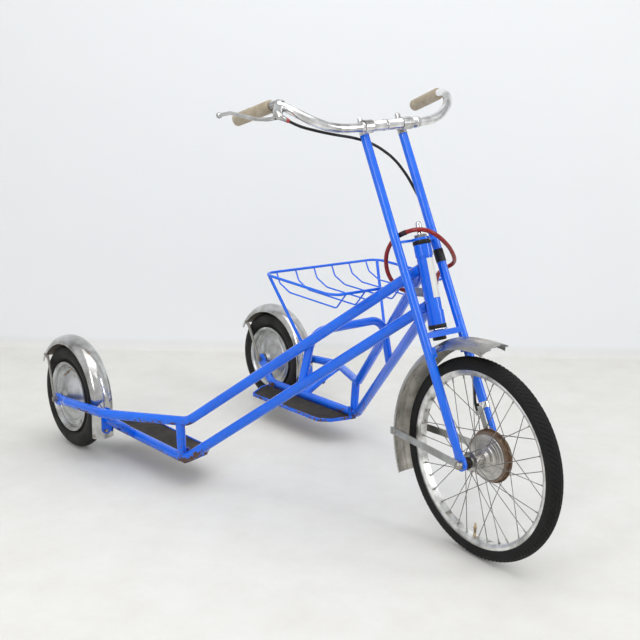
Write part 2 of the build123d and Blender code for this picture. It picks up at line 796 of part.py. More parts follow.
# Bridges: plates that join the blades round the steering stem
bridges = (
    # label, foot along the steering axis, height
    ("lower_bridge", stem_foot, lower_bridge_height),
    ("upper_bridge", stem_top - upper_bridge_height, upper_bridge_height),
)
for label, bridge_foot, height in bridges:
    plane = head_plane(bridge_foot)
    to_blade = front_axle - plane.origin
    climb = -to_blade.dot(steer_up) / blade_up.dot(steer_up)
    reach = (to_blade + blade_up * climb).dot(steer_forward)
    with BuildPart() as bridge:
        with BuildSketch(plane):
            with BuildLine():
                Polyline(
                    (-bridge_end_radius + reach, -blade_across),
                    (bridge_end_radius + reach, -blade_across),
                    (bridge_end_radius + reach, blade_across),
                    (-bridge_end_radius + reach, blade_across),
                    close=True,
                )
            make_face()
            Circle(bridge_eye_radius)
            Circle(stem_radius, mode=Mode.SUBTRACT)
        extrude(amount=height)
        if label == "lower_bridge":
            boss_top = front_axle + blade_up * (front_guard_crown + 12)
            with BuildSketch(Plane(boss_top - blade_up * 14, x_dir=blade_forward, z_dir=blade_up)):
                Circle(bridge_end_radius)
            extrude(amount=14)
            with BuildSketch(Plane(front_axle, z_dir=(0, 1, 0))):
                Circle(front_guard_crown + front_ridge_height)
            extrude(amount=bridge_eye_radius, both=True, mode=Mode.SUBTRACT)
            with BuildSketch(plane):
                Circle(stem_radius)
            extrude(amount=height, mode=Mode.SUBTRACT)
        for blade in blades.values():
            add(blade.part, mode=Mode.SUBTRACT)
    bridge.part = bridge.part.solids().sort_by(SortBy.VOLUME)[-1]
    keep(bridge, label, steered=True)

# Handlebar frame: its middle stands ahead of the blades, and the whole bar leans a little
bar_middle = front_axle + blade_up * (blade_length + bar_rise) + blade_forward * bar_reach
lean = radians(bar_tilt)
bar_out = Vector(0, cos(lean), sin(lean))
bar_up = Vector(0, -sin(lean), cos(lean))


def on_bar(back, out, up):
    """A point given back, out to the left and up from the handlebar's middle."""
    return bar_middle - Vector(back, 0, 0) + bar_out * out + bar_up * up


# Stems: a quill on each blade with a collar round the bar and a round-headed pin
for side, name, collar_width in ((-1, "right", collar_widths[0]), (1, "left", collar_widths[1])):
    blade_top = front_axle + blade_up * blade_length + Vector(0, side * blade_across, 0)
    pin_plane = Plane(blade_top, x_dir=blade_forward, z_dir=blade_up)
    collar_middle = on_bar(0, side * blade_across, 0)
    collar_plane = Plane(collar_middle, x_dir=(1, 0, 0), z_dir=bar_out)
    with BuildPart() as stem:
        with BuildSketch(pin_plane):
            Circle(quill_radius)
        extrude(amount=bar_rise + 4)
        with BuildSketch(collar_plane):
            Circle(collar_radius)
        extrude(amount=collar_width / 2, both=True)
        with BuildSketch(pin_plane):
            Circle(quill_pin_radius)
        extrude(amount=quill_pin_height - quill_pin_radius)
        with Locations(pin_plane.offset(quill_pin_height - quill_pin_radius).location):
            Sphere(quill_pin_radius)
        with BuildSketch(collar_plane):
            Circle(bar_sleeve_radius)
        extrude(amount=2 * collar_radius, both=True, mode=Mode.SUBTRACT)
        add(blades[name].part, mode=Mode.SUBTRACT)
    stem.part = stem.part.solids().sort_by(SortBy.VOLUME)[-1]
    keep(stem, f"bar_stem_{name}", steered=True)
    keep(blades[name], f"fork_blade_{name}", steered=True)

# Handlebar swept back to the grips, with its middle sleeve
bar_half = (bar_end, bar_crest, bar_shoulder, bar_knee)
bar_points = [on_bar(back, -out, up) for back, out, up in bar_half]
bar_points += [on_bar(back, out, up) for back, out, up in reversed(bar_half)]
bar_bends = [bar_bend_radii[2], bar_bend_radii[1], bar_bend_radii[0]]
bar_tube = swept_rod(bar_points, bar_bends + bar_bends[::-1], bar_radius)
with BuildPart() as handlebar:
    add(bar_tube.part)
    with BuildSketch(Plane(on_bar(0, bar_sleeve_ends[0], 0), x_dir=(1, 0, 0), z_dir=bar_out)):
        Circle(bar_sleeve_radius)
    extrude(amount=bar_sleeve_ends[1] - bar_sleeve_ends[0])
keep(handlebar, "handlebar", steered=True)

grip_frames = {}
for side, name in ((-1, "right"), (1, "left")):
    crest = on_bar(bar_crest[0], side * bar_crest[1], bar_crest[2])
    end = on_bar(bar_end[0], side * bar_end[1], bar_end[2])
    along = unit(end - crest)
    grip_start = end + along * grip_cap - along * grip_length
    grip_frames[name] = (grip_start, along)
    with BuildPart() as grip:
        with BuildSketch(Plane(grip_start, z_dir=along)):
            Circle(grip_radius)
        extrude(amount=grip_length)
        fillet(grip.edges().filter_by(GeomType.CIRCLE), 3)
        add(handlebar.part, mode=Mode.SUBTRACT)
    keep(grip, f"grip_{name}", steered=True)

# Brake lever: a ring on the bar with a housing, and the curved lever with its ball end
grip_start, along = grip_frames["right"]
level_out = unit(Vector(0, -1, 0) - along * Vector(0, -1, 0).dot(along))
level_up = unit(along.cross(level_out))
if level_up.Z < 0:
    level_up = level_up * -1


def on_grip(run, out, up):
    """A point given along the right grip, out from it and above it."""
    return grip_start + along * run + level_out * out + level_up * up


lever_points = [on_grip(*point) for point in lever_route]
lever_bar = swept_rod(lever_points, [20] * (len(lever_points) - 2), lever_radius)
with BuildPart() as brake_lever:
    add(lever_bar.part)
    with Locations(Plane(lever_points[-1], z_dir=lever_points[-1] - lever_points[-2]).location):
        Sphere(lever_ball)
keep(brake_lever, "brake_lever", steered=True)

ring_middle = on_grip(lever_clamp_along, 0, 0)
cable_start, cable_next = [ahead_of_axle(*point) for point in cable_route[:2]]
nose_elbow = cable_start - unit(cable_next - cable_start) * 2 * cable_nose_radius
with BuildPart() as lever_bracket:
    with BuildSketch(Plane(ring_middle, z_dir=along)):
        Circle(lever_clamp_radius)
    extrude(amount=lever_clamp_width / 2, both=True)
    housing = straight_rod(ring_middle, lever_points[0], lever_radius + 3)
    add(housing.part)
    for start, end, radius in (
        (lever_points[0], nose_elbow, cable_nose_radius + 1),
        (nose_elbow, cable_start, cable_nose_radius),
    ):
        nose = straight_rod(start, end, radius)
        add(nose.part)
    add(handlebar.part, mode=Mode.SUBTRACT)
    add(lever_bar.part, mode=Mode.SUBTRACT)
lever_bracket.part = lever_bracket.part.solids().sort_by(SortBy.VOLUME)[-1]
keep(lever_bracket, "lever_bracket", steered=True)

# Front axle with the nuts outside the stays
front_across = Plane(front_axle, z_dir=(0, 1, 0))
front_plate_face = blade_across + plate_thickness / 2
front_nut_foot = front_plate_face + stay_thickness
with BuildPart() as front_axle_rod:
    with BuildSketch(front_across):
        Circle(axle_radius)
    extrude(amount=front_nut_foot + nut_height + 2, both=True)
    for end, cone_foot in ((-1, running_gap - hub_end_y), (1, front_cone_foot)):
        with BuildSketch(front_across.offset(end * front_nut_foot)):
            RegularPolygon(nut_radius, 6)
        extrude(amount=end * nut_height)
        with BuildSketch(front_across.offset(end * cone_foot)):
            Circle(nut_radius + 1)
        extrude(amount=end * (blade_across - plate_thickness / 2 - cone_foot))
keep(front_axle_rod, "front_axle", steered=True)

# Front mudguard: rolled strip with a centre ridge, its tip running on straight
start_angle = radians(front_guard_start)
guard_start = Plane(front_axle, x_dir=(0, 1, 0), z_dir=(sin(start_angle), 0, -cos(start_angle)))
with BuildPart() as front_mudguard:
    with BuildSketch(guard_start) as strip_section:
        with BuildLine():
            outer = ThreePointArc(
                (-front_guard_half_width, front_guard_lip),
                (0, front_guard_crown),
                (front_guard_half_width, front_guard_lip),
            )
            inner = ThreePointArc(
                (-front_guard_half_width + guard_sheet, front_guard_lip),
                (0, front_guard_crown - guard_sheet),
                (front_guard_half_width - guard_sheet, front_guard_lip),
            )
            Line(outer @ 0, inner @ 0)
            Line(outer @ 1, inner @ 1)
        make_face()
        ridge_foot = front_guard_crown - guard_sheet / 2
        with BuildLine():
            ridge = ThreePointArc(
                (-front_ridge_half_width, ridge_foot),
                (0, front_guard_crown + front_ridge_height),
                (front_ridge_half_width, ridge_foot),
            )
            Line(ridge @ 0, ridge @ 1)
        make_face()
    revolve(axis=Axis(front_axle, (0, -1, 0)), revolution_arc=front_guard_end - front_guard_start)
    extrude(strip_section.sketch, amount=front_guard_tip)
keep(front_mudguard, "front_mudguard", steered=True)

front_stay_run = (
    (-front_stay_width / 2, front_plate_face),
    (blade_plate_width / 2 + 9, front_plate_face),
    (front_guard_lip - 20, front_guard_half_width + running_gap),
    (front_guard_lip + 4, front_guard_half_width + running_gap),
)
with BuildPart() as front_stays:
    for end in (-1, 1):
        strip = bent_strip(
            front_axle, Vector(-1, 0, 0), Vector(0, end, 0), front_stay_run, front_stay_width, stay_thickness
        )
        add(strip.part)
keep(front_stays, "front_mudguard_stays", steered=True)

def beside_blade(along, back, out):
    """A point up the left blade from the axle, back from the blade and out from it."""
    return front_axle + Vector(0, blade_across + out, 0) + blade_up * along - blade_forward * back


# Brake plate on the drum's open side, with the cable's anchor and a torque arm clamped to the left blade
cable_end = cable_beside_blade[-1]
brake_side = Plane(front_axle + Vector(0, brake_plate_foot, 0), x_dir=blade_up, z_dir=(0, 1, 0))
with BuildPart() as brake_plate:
    with BuildSketch(brake_side):
        Circle(brake_plate_radius)
        with Locations((torque_arm_reach / 2, 0)):
            Rectangle(torque_arm_reach, torque_arm_width)
        with Locations((cable_end[0] - anchor_height / 2, -cable_end[1] / 2)):
            Rectangle(anchor_height, cable_end[1])
        Circle(axle_radius, mode=Mode.SUBTRACT)
    extrude(amount=brake_plate_thickness)
    with BuildSketch(Plane(beside_blade(*cable_end), z_dir=blade_up)):
        Circle(anchor_radius)
    extrude(amount=-anchor_height)
keep(brake_plate, "brake_plate", steered=True)

# The brake's arm, on the outer side of the plate
arm_ends = [front_axle + Vector(ahead, brake_arm_foot, up) for ahead, up in (brake_arm_pivot, brake_arm_end)]
arm_along = arm_ends[1] - arm_ends[0]
with BuildPart() as brake_arm:
    with BuildSketch(Plane(arm_ends[0] + arm_along / 2, x_dir=unit(arm_along), z_dir=(0, 1, 0))):
        SlotCenterToCenter(arm_along.length, brake_arm_width)
    extrude(amount=brake_arm_thickness)
    with BuildSketch(Plane(arm_ends[0], z_dir=(0, -1, 0))):
        Circle(brake_arm_width / 2)
    extrude(amount=brake_arm_foot - front_cone_foot)
keep(brake_arm, "brake_arm", steered=True)

# The brake's cable from the lever along the left blade to the anchor, with its bare wire below
cable_points = [ahead_of_axle(*point) for point in cable_route]
cable_points += [beside_blade(*point) for point in cable_beside_blade]
cable_tube = cord(cable_points, cable_radius, "brake_cable")
wire_end = arm_ends[1] + Vector(0, brake_arm_thickness / 2, brake_arm_width / 2 + running_gap)
wire = straight_rod(beside_blade(*cable_end) - blade_up * anchor_height, wire_end, cable_wire_radius)
with BuildPart() as brake_cable:
    add(cable_tube.part)
    add(wire.part)
    add(brake_plate.part, mode=Mode.SUBTRACT)
keep(brake_cable, "brake_cable", steered=True)

# Tape round the blade and the cable
tape_plane = Plane(
    front_axle + Vector(0, blade_across, 0) + blade_up * tape_span[0],
    x_dir=(0, 1, 0),
    z_dir=blade_up,
)
with BuildPart() as cable_tape:
    with BuildSketch(tape_plane):
        Circle(blade_radius + tape_thickness)
        with Locations((cable_beside_blade[0][2], cable_beside_blade[0][1])):
            Circle(cable_radius + tape_thickness)
        make_hull()
    extrude(amount=tape_span[1] - tape_span[0])
    add(blades["left"].part, mode=Mode.SUBTRACT)
    add(cable_tube.part, mode=Mode.SUBTRACT)
keep(cable_tape, "cable_tape", steered=True)

# The lock's barrel between the rails, and its cable looped over the upper bridge
lock_axis = unit(lock_way)
lock_centre = ahead_of_axle(*lock_middle)
barrel_ends = [lock_centre + lock_axis * end * lock_barrel_length / 2 for end in (1, -1)]
with BuildPart() as lock_body:
    with BuildSketch(Plane(barrel_ends[1], z_dir=lock_axis)):
        Circle(lock_barrel_radius)
    extrude(amount=lock_barrel_length)
keep(lock_body, "lock_body")

lock_points = [barrel_ends[0], barrel_ends[0] + lock_axis * lock_lead]
lock_points += [ahead_of_axle(*point) for point in lock_route]
lock_points += [barrel_ends[1] - lock_axis * lock_lead, barrel_ends[1]]
lock_cable = cord(lock_points, lock_radius, "lock_cable")
keep(lock_cable, "lock_cable")

band_middle = front_axle + blade_up * torque_arm_reach + Vector(0, blade_across, 0)
with BuildPart() as torque_clamp:
    with BuildSketch(Plane(band_middle, x_dir=blade_forward, z_dir=blade_up)):
        Circle(blade_radius + clamp_thickness)
        with Locations((-blade_radius - clamp_ears[0] / 2, 0)):
            Rectangle(*clamp_ears)
        Circle(blade_radius, mode=Mode.SUBTRACT)
    extrude(amount=clamp_band / 2, both=True)
    bolt_middle = band_middle - blade_forward * (blade_radius + clamp_ears[0] / 2)
    with BuildSketch(Plane(bolt_middle, z_dir=(0, 1, 0))):
        Circle(clamp_bolt_radius)
    extrude(amount=clamp_bolt_end)
keep(torque_clamp, "torque_clamp", steered=True)

# Front wheel
wheel_section = Plane(front_axle, x_dir=(0, 1, 0), z_dir=(1, 0, 0))
front_wheel_axis = Axis(front_axle, (0, 1, 0))
seat = front_rim_radius + running_gap
bead_half = front_rim_half_width - rim_wall - 0.7
rim_inner = front_rim_radius - front_rim_depth
with BuildPart() as front_tyre:
    with BuildSketch(wheel_section):
        with Locations((0, front_ring)):
            Circle(front_tyre_section)
        with Locations((0, seat - front_tyre_section)):
            Rectangle(4 * front_tyre_section, 2 * front_tyre_section, mode=Mode.SUBTRACT)
        with Locations((0, seat - 3)):
            Rectangle(2 * bead_half, 6.2)
    revolve(axis=front_wheel_axis)
keep(front_tyre, "front_tyre", steered=True)

rim_half = (
    # out from the mid plane, radius
    (front_rim_half_width, front_rim_radius),
    (front_rim_half_width, front_rim_radius - 8),
    (front_rim_half_width - 4, rim_inner),
)
rim_well = (
    (bead_half - 5, front_rim_radius - 10.5),
    (bead_half - 4, front_rim_radius - 7.5),
    (bead_half + 0.3, front_rim_radius - 6.5),
    (front_rim_half_width - rim_wall, front_rim_radius),
)
rim_outline = [*rim_half, *[(-y, r) for y, r in reversed(rim_half)]]
rim_outline += [*[(-y, r) for y, r in reversed(rim_well)], *rim_well]
with BuildPart() as front_rim:
    with BuildSketch(wheel_section):
        with BuildLine():
            Polyline(*rim_outline, close=True)
        make_face()
    revolve(axis=front_wheel_axis)
keep(front_rim, "front_rim", steered=True)

flange_half = flange_thickness / 2
hub_profile = (
    # out to the left from the mid plane, radius
    (hub_end_y, axle_radius + running_gap),
    (hub_end_y, hub_barrel_radius - 1),
    (small_flange_y - flange_half, hub_barrel_radius - 1),
    (small_flange_y - flange_half, small_flange_radius),
    (small_flange_y + flange_half, small_flange_radius),
    (small_flange_y + flange_half, hub_barrel_radius),
    (4, hub_barrel_radius),
    (10, hub_boss_radius - 10),
    (13, hub_boss_radius - 2),
    (15, hub_boss_radius),
    (16.5, hub_boss_radius + 4),
    (15.5, hub_boss_radius + 5),
    (16, hub_boss_radius + 9),
    (17.5, hub_boss_radius + 10),
    (17.5, hub_cover_radius - 10),
    (18.5, hub_cover_radius - 8),
    (19, hub_cover_radius - 1),
    (20, hub_cover_radius),
    (22, hub_cover_radius),
    (22, drum_radius - 1),
    (24, drum_radius),
    (drum_flange_y - flange_half, drum_radius),
    (drum_flange_y - flange_half, drum_flange_radius),
    (drum_flange_y + flange_half, drum_flange_radius),
    (drum_flange_y + flange_half, drum_radius),
    (drum_end_y, drum_radius),
    (drum_end_y, axle_radius + running_gap),
)
with BuildPart() as front_hub:
    with BuildSketch(wheel_section):
        with BuildLine():
            Polyline(*hub_profile, close=True)
        make_face()
    revolve(axis=front_wheel_axis)
    with BuildSketch(Plane(front_axle + Vector(0, hub_hole_foot, 0), z_dir=(0, -1, 0))):
        with PolarLocations(hub_hole_ring, hub_hole_count):
            Circle(hub_hole_radius)
    extrude(amount=hub_boss_radius, mode=Mode.SUBTRACT)
keep(front_hub, "front_hub", steered=True)

# Crossed spokes: on each flange every second one leans forward, the others back
spokes_per_side = spoke_count // 2
spoke_pitch = 360 / spokes_per_side
spoke_sides = (
    # flange y, hub hole radius, rim lead in degrees, turn of the set, clearance outside the flange
    (small_flange_y, small_flange_radius - 4.5, 3 * spoke_pitch, 0.0, 1.6),
    (drum_flange_y, drum_flange_radius - 2.0, 2 * spoke_pitch, spoke_pitch / 2, 0.9),
)
rim_hole_radius = rim_inner - 0.6


def wheel_point(radius, angle, across):
    """A point of the front wheel, by radius and angle round the axle."""
    return front_axle + Vector(radius * cos(radians(angle)), across, radius * sin(radians(angle)))


with BuildPart() as front_spokes:
    for flange_y, hole_radius, lead, turn, lift in spoke_sides:
        for k in range(spokes_per_side):
            lean_way = 1 if k % 2 == 0 else -1
            angle = turn + k * spoke_pitch
            outward = lean_way * flange_y > 0
            beside_flange = flange_y + lean_way * (flange_half + spoke_radius + (lift if outward else 0.1))
            hub_point = wheel_point(hole_radius, angle, beside_flange)
            rim_point_here = wheel_point(rim_hole_radius, angle + lean_way * lead, flange_y * 0.06)
            with BuildSketch(Plane(hub_point, z_dir=rim_point_here - hub_point)):
                Circle(spoke_radius)
            extrude(amount=(rim_point_here - hub_point).length)
keep(front_spokes, "front_spokes", steered=True)

# Every piece goes to its own file, the fork's pieces as they stand when parked
for piece, label, steered in finished:
    if steered:
        piece.part = piece.part.rotate(steering_axis, parked_steer)
    piece.part.label = label
    export_step(piece.part, f"parts/{label}.step")
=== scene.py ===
import json
import math

import bpy
import numpy as np
from mathutils import Matrix, Vector


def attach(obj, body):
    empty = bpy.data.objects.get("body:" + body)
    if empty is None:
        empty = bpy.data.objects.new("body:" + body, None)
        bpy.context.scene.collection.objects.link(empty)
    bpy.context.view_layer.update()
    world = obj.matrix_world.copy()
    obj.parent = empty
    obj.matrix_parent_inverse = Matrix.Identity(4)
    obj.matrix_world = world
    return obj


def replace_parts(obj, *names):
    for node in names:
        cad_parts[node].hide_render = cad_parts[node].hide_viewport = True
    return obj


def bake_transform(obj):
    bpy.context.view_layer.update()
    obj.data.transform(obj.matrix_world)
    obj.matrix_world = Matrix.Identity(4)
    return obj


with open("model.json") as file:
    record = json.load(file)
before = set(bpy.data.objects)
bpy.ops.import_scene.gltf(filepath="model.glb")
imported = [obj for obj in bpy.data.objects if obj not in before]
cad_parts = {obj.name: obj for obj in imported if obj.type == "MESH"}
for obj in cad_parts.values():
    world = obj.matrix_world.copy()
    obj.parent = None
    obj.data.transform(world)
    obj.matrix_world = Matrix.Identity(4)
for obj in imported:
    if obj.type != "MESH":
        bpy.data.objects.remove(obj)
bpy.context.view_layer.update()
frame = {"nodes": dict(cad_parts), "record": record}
nodes = frame["nodes"]
print("frame loaded,", len(nodes), "nodes")

# camera, fitted to the wheels, axles and tube joints
cameraSetup = {"place": (1.98364, -1.719, 1.0566), "yaw": 138.99, "pitch": -12.86, "roll": 1.13, "lens": 56.57}


def newObject(name, data):  # one object in the scene, at the origin
    obj = bpy.data.objects.new(name, data)
    bpy.context.scene.collection.objects.link(obj)
    return obj


def makeCamera(setup):  # looks along yaw and pitch, then rolls about its own line of sight
    yaw, pitch, roll = (math.radians(setup[k]) for k in ("yaw", "pitch", "roll"))
    ahead = Vector((math.cos(pitch) * math.cos(yaw), math.cos(pitch) * math.sin(yaw), math.sin(pitch)))
    right = Vector((math.sin(yaw), -math.cos(yaw), 0))
    up = right.cross(ahead)
    turnedRight = right * math.cos(roll) + up * math.sin(roll)
    turnedUp = up * math.cos(roll) - right * math.sin(roll)
    data = bpy.data.cameras.new("camera")
    data.lens, data.sensor_width = setup["lens"], 36.0
    data.clip_start, data.clip_end = 0.05, 60.0
    turn = Matrix((turnedRight, turnedUp, -ahead)).transposed()
    obj = newObject("camera", data)
    obj.matrix_world = Matrix.Translation(setup["place"]) @ turn.to_4x4()
    bpy.context.scene.camera = obj


makeCamera(cameraSetup)
bpy.context.scene.view_settings.view_transform = "Standard"
print("camera set")


def colour(code):  # sRGB hex to the linear values that Blender's sockets hold
    parts = np.array([code >> 16 & 255, code >> 8 & 255, code & 255]) / 255
    linear = np.where(parts <= 0.04045, parts / 12.92, ((parts + 0.055) / 1.055) ** 2.4)
    return (*linear.tolist(), 1.0)


def addNode(tree, kind, inputs=None, stops=(), **settings):
    # one node with its settings, a colour ramp's stops as level and colour, and its inputs; an input is a value, an
    # output, or a node, which stands for its first output
    node = tree.nodes.new("ShaderNode" + kind)
    for name, value in settings.items():
        setattr(node, name, value)
    for k, (level, code) in enumerate(stops):
        node.color_ramp.elements[k].position, node.color_ramp.elements[k].color = level, colour(code)
    for socket, value in (inputs or {}).items():
        source = value.outputs[0] if isinstance(value, bpy.types.Node) else value
        if isinstance(source, bpy.types.NodeSocket):
            tree.links.new(source, node.inputs[socket])
        else:
            node.inputs[socket].default_value = source
    return node


def newMaterial(name, patterns):
    # an empty material, its Object coordinates, and a noise for each pattern: scale, detail, roughness; a scale is
    # in grains per metre, so that 9 is 110 mm wide, 95 is 10 mm and 700 is 1.4 mm
    material = bpy.data.materials.new(name)
    material.use_nodes = True
    tree = material.node_tree
    tree.nodes.clear()
    place = addNode(tree, "TexCoord").outputs["Object"]
    grain = {key: addNode(tree, "TexNoise", {"Vector": place, "Scale": scale, "Detail": detail, "Roughness": rough})
             for key, (scale, detail, rough) in patterns.items()}
    return material, tree, place, grain


def heightAbove(tree, place, low, high):  # 0 under low, 1 over high, in metres up from the floor
    up = addNode(tree, "SeparateXYZ", {0: place}).outputs["Z"]
    return addNode(tree, "MapRange", {0: up, 1: low, 2: high})


def nearPoint(tree, place, centre, radius):  # 1 at a point, 0 at its radius and beyond
    away = addNode(tree, "VectorMath", {0: place, 1: centre}, operation="DISTANCE").outputs["Value"]
    return addNode(tree, "MapRange", {0: away, 1: 0.0, 2: radius, 3: 1.0, 4: 0.0})


def alongAxis(tree, place, centre, axis):  # distance from a point along an axis
    offset = addNode(tree, "VectorMath", {0: place, 1: centre}, operation="SUBTRACT")
    return addNode(tree, "VectorMath", {0: offset, 1: axis}, operation="DOT_PRODUCT").outputs["Value"]


def finishMaterial(tree, inputs, relief=None, depth=0.0):  # its shader and output, with relief of a depth in metres
    shader = addNode(tree, "BsdfPrincipled", inputs)
    if relief is not None:
        raised = addNode(tree, "Bump", {"Height": relief, "Strength": 1.0, "Distance": depth})
        tree.links.new(raised.outputs[0], shader.inputs["Normal"])
    addNode(tree, "OutputMaterial", {"Surface": shader})


# places that scene.py shares with the record: the steering axis, the wheels and the rear axle
joints = {joint["name"]: joint for joint in frame["record"]["behaviour"]["joints"]}
steerFoot = np.array(joints["steering_turn"]["pos_m"])
steerUp = np.array(joints["steering_turn"]["axis"])
steerUp = steerUp / np.linalg.norm(steerUp)
steerForward = np.array([steerUp[2], 0.0, -steerUp[0]])
leftWay = np.array([0.0, 1.0, 0.0])
frontCentre = np.array(joints["front_wheel_spin"]["pos_m"])
frontAxis = np.array(joints["front_wheel_spin"]["axis"])
frontAxis = frontAxis / np.linalg.norm(frontAxis)
rearCentres = {side: np.array(joints[f"rear_wheel_{side}_spin"]["pos_m"]) for side in ("right", "left")}
rearAxleX = rearCentres["right"][0]
parkedTurn = math.asin(-frontAxis[0] / steerForward[0])
parkedRotation = Matrix.Rotation(parkedTurn, 4, Vector(steerUp))
parked = np.array(Matrix.Translation(steerFoot) @ parkedRotation @ Matrix.Translation(-steerFoot))


def turnParked(points):  # from the fork straight ahead to the fork as it stands in the photograph
    points = np.asarray(points, float)
    return points @ parked[:3, :3].T + parked[:3, 3]


# the fork straight ahead: the wheel's centre, and the way up, forward and across from it to the blades' tops
straightCentre = (frontCentre - parked[:3, 3]) @ parked[:3, :3]
bladeTilt = math.radians(26.9)
bladeUp = np.array([-math.sin(bladeTilt), 0.0, math.cos(bladeTilt)])
bladeForward = np.array([math.cos(bladeTilt), 0.0, math.sin(bladeTilt)])
bladeAcross, bladeLength = 0.0594, 0.8027

# where knocks and standing water have taken the paint: centre, radius, amount
wornSpots = [
    ((rearAxleX + 0.49, -0.314, 0.068), 0.07, 0.30),
    ((rearAxleX + 0.53, -0.30, 0.095), 0.06, 0.12),
    ((rearAxleX + 0.49, -0.31, 0.187), 0.05, 0.15),
    ((rearAxleX + 0.20, -0.44, 0.160), 0.10, 0.13),
    ((rearAxleX + 0.40, -0.36, 0.172), 0.09, 0.10),
    ((rearAxleX + 0.49, 0.314, 0.068), 0.06, 0.20),
    ((rearAxleX + 0.10, 0.31, 0.085), 0.08, 0.12),
]


enamelLook = {
    "grain": {"smear": (9.0, 5.0, 0.6), "chip": (95.0, 6.0, 0.62), "patch": (14.0, 2.0, 0.55),
              "rust": (240.0, 3.0, 0.55), "dust": (32.0, 6.0, 0.55), "scrape": (58.0, 5.0, 0.7),
              "wave": (60.0, 2.0, 0.55)},
    "blue": [(0.3, 0x0460E0), (0.7, 0x0E6EF0)], "rust": [(0.35, 0x362A26), (0.7, 0x735443)],
    "dust": [(0.48, 0x000000), (0.75, 0xFFFFFF)], "dustShare": 0.06, "dustColour": 0x8FA3BC,
    "scrape": [(0.765, 0x000000), (0.775, 0xFFFFFF)], "scrapeShare": 0.7, "scrapeColour": 0xC6CCD6,
    "nearFloor": (0.05, 0.30), "floorShare": 0.15, "patchShare": 0.22, "chipLevels": (0.83, 0.845), "chipDrop": 0.04,
    "gloss": 0.11, "rustRoughness": 0.8, "wave": 0.25, "relief": 0.00016,
    "shader": {"IOR": 1.5, "Specular IOR Level": 0.4, "Coat Weight": 0.25, "Coat Roughness": 0.03},
}


def sprayedEnamel(name, chips, look=enamelLook):
    # gloss enamel sprayed on steel tube and worn in use: a clear blue with soft gloss, dull smears, whitish
    # scrapes, and chips down to brown rust on the undersides near the floor and where it was knocked
    material, tree, place, grain = newMaterial(name, look["grain"])
    blue = addNode(tree, "ValToRGB", {0: grain["smear"]}, look["blue"])
    low = addNode(tree, "MapRange", {0: heightAbove(tree, place, *look["nearFloor"]), 3: 1.0, 4: 0.0})
    facing = addNode(tree, "SeparateXYZ", {0: addNode(tree, "NewGeometry").outputs["Normal"]}).outputs["Z"]
    under = addNode(tree, "MapRange", {0: facing, 1: 0.3, 2: -0.5, 3: 0.15, 4: 1.0})
    lowUnder = addNode(tree, "Math", {0: low, 1: under}, operation="MULTIPLY")
    worn = addNode(tree, "Math", {0: lowUnder, 1: look["floorShare"] * chips}, operation="MULTIPLY")
    patch = addNode(tree, "Math", {0: grain["patch"], 1: look["patchShare"]}, operation="MULTIPLY")
    worn = addNode(tree, "Math", {0: worn, 1: patch}, operation="ADD")
    for centre, radius, amount in wornSpots:
        spot = addNode(tree, "Math", {0: nearPoint(tree, place, centre, radius), 1: amount}, operation="MULTIPLY")
        spot = addNode(tree, "Math", {0: spot, 1: under}, operation="MULTIPLY")
        worn = addNode(tree, "Math", {0: worn, 1: spot}, operation="ADD")
    level = addNode(tree, "Math", {0: grain["chip"], 1: worn}, operation="ADD")
    first, last = (stop - look["chipDrop"] * chips for stop in look["chipLevels"])
    bare = addNode(tree, "ValToRGB", {0: level}, [(first, 0x000000), (last, 0xFFFFFF)])
    rust = addNode(tree, "ValToRGB", {0: grain["rust"]}, look["rust"])
    base = blue.outputs[0]
    for kind in ("dust", "scrape"):
        spread = addNode(tree, "ValToRGB", {0: grain[kind]}, look[kind])
        share = addNode(tree, "Math", {0: spread, 1: look[f"{kind}Share"]}, operation="MULTIPLY")
        inputs = {0: share, 6: base, 7: colour(look[f"{kind}Colour"])}
        base = addNode(tree, "Mix", inputs, data_type="RGBA").outputs[2]
    base = addNode(tree, "Mix", {0: bare, 6: base, 7: rust}, data_type="RGBA").outputs[2]
    rough = addNode(tree, "MapRange", {0: bare, 3: look["gloss"], 4: look["rustRoughness"]})
    wave = addNode(tree, "Math", {0: grain["wave"], 1: look["wave"]}, operation="MULTIPLY")
    relief = addNode(tree, "Math", {0: wave, 1: bare}, operation="SUBTRACT")
    finishMaterial(tree, {"Base Color": base, "Roughness": rough, **look["shader"]}, relief, look["relief"])
    return material


plateLook = {
    "grain": {"cloud": (22.0, 4.0, 0.55), "rust": (260.0, 3.0, 0.55)}, "clouded": [(0.35, 0x000000), (0.7, 0xFFFFFF)],
    "cloudColour": 0x9A9996, "cloudShare": 0.3, "rust": [(0.3, 0x3B2A20), (0.72, 0x86603F)],
    "rough": [(0.3, 0x3A2C22), (0.7, 0x86694E)], "dulls": (0.3, 0.75), "dulling": 0.14, "rustRoughness": 0.7,
    "rustShare": 0.85, "relief": 0.00012,
}


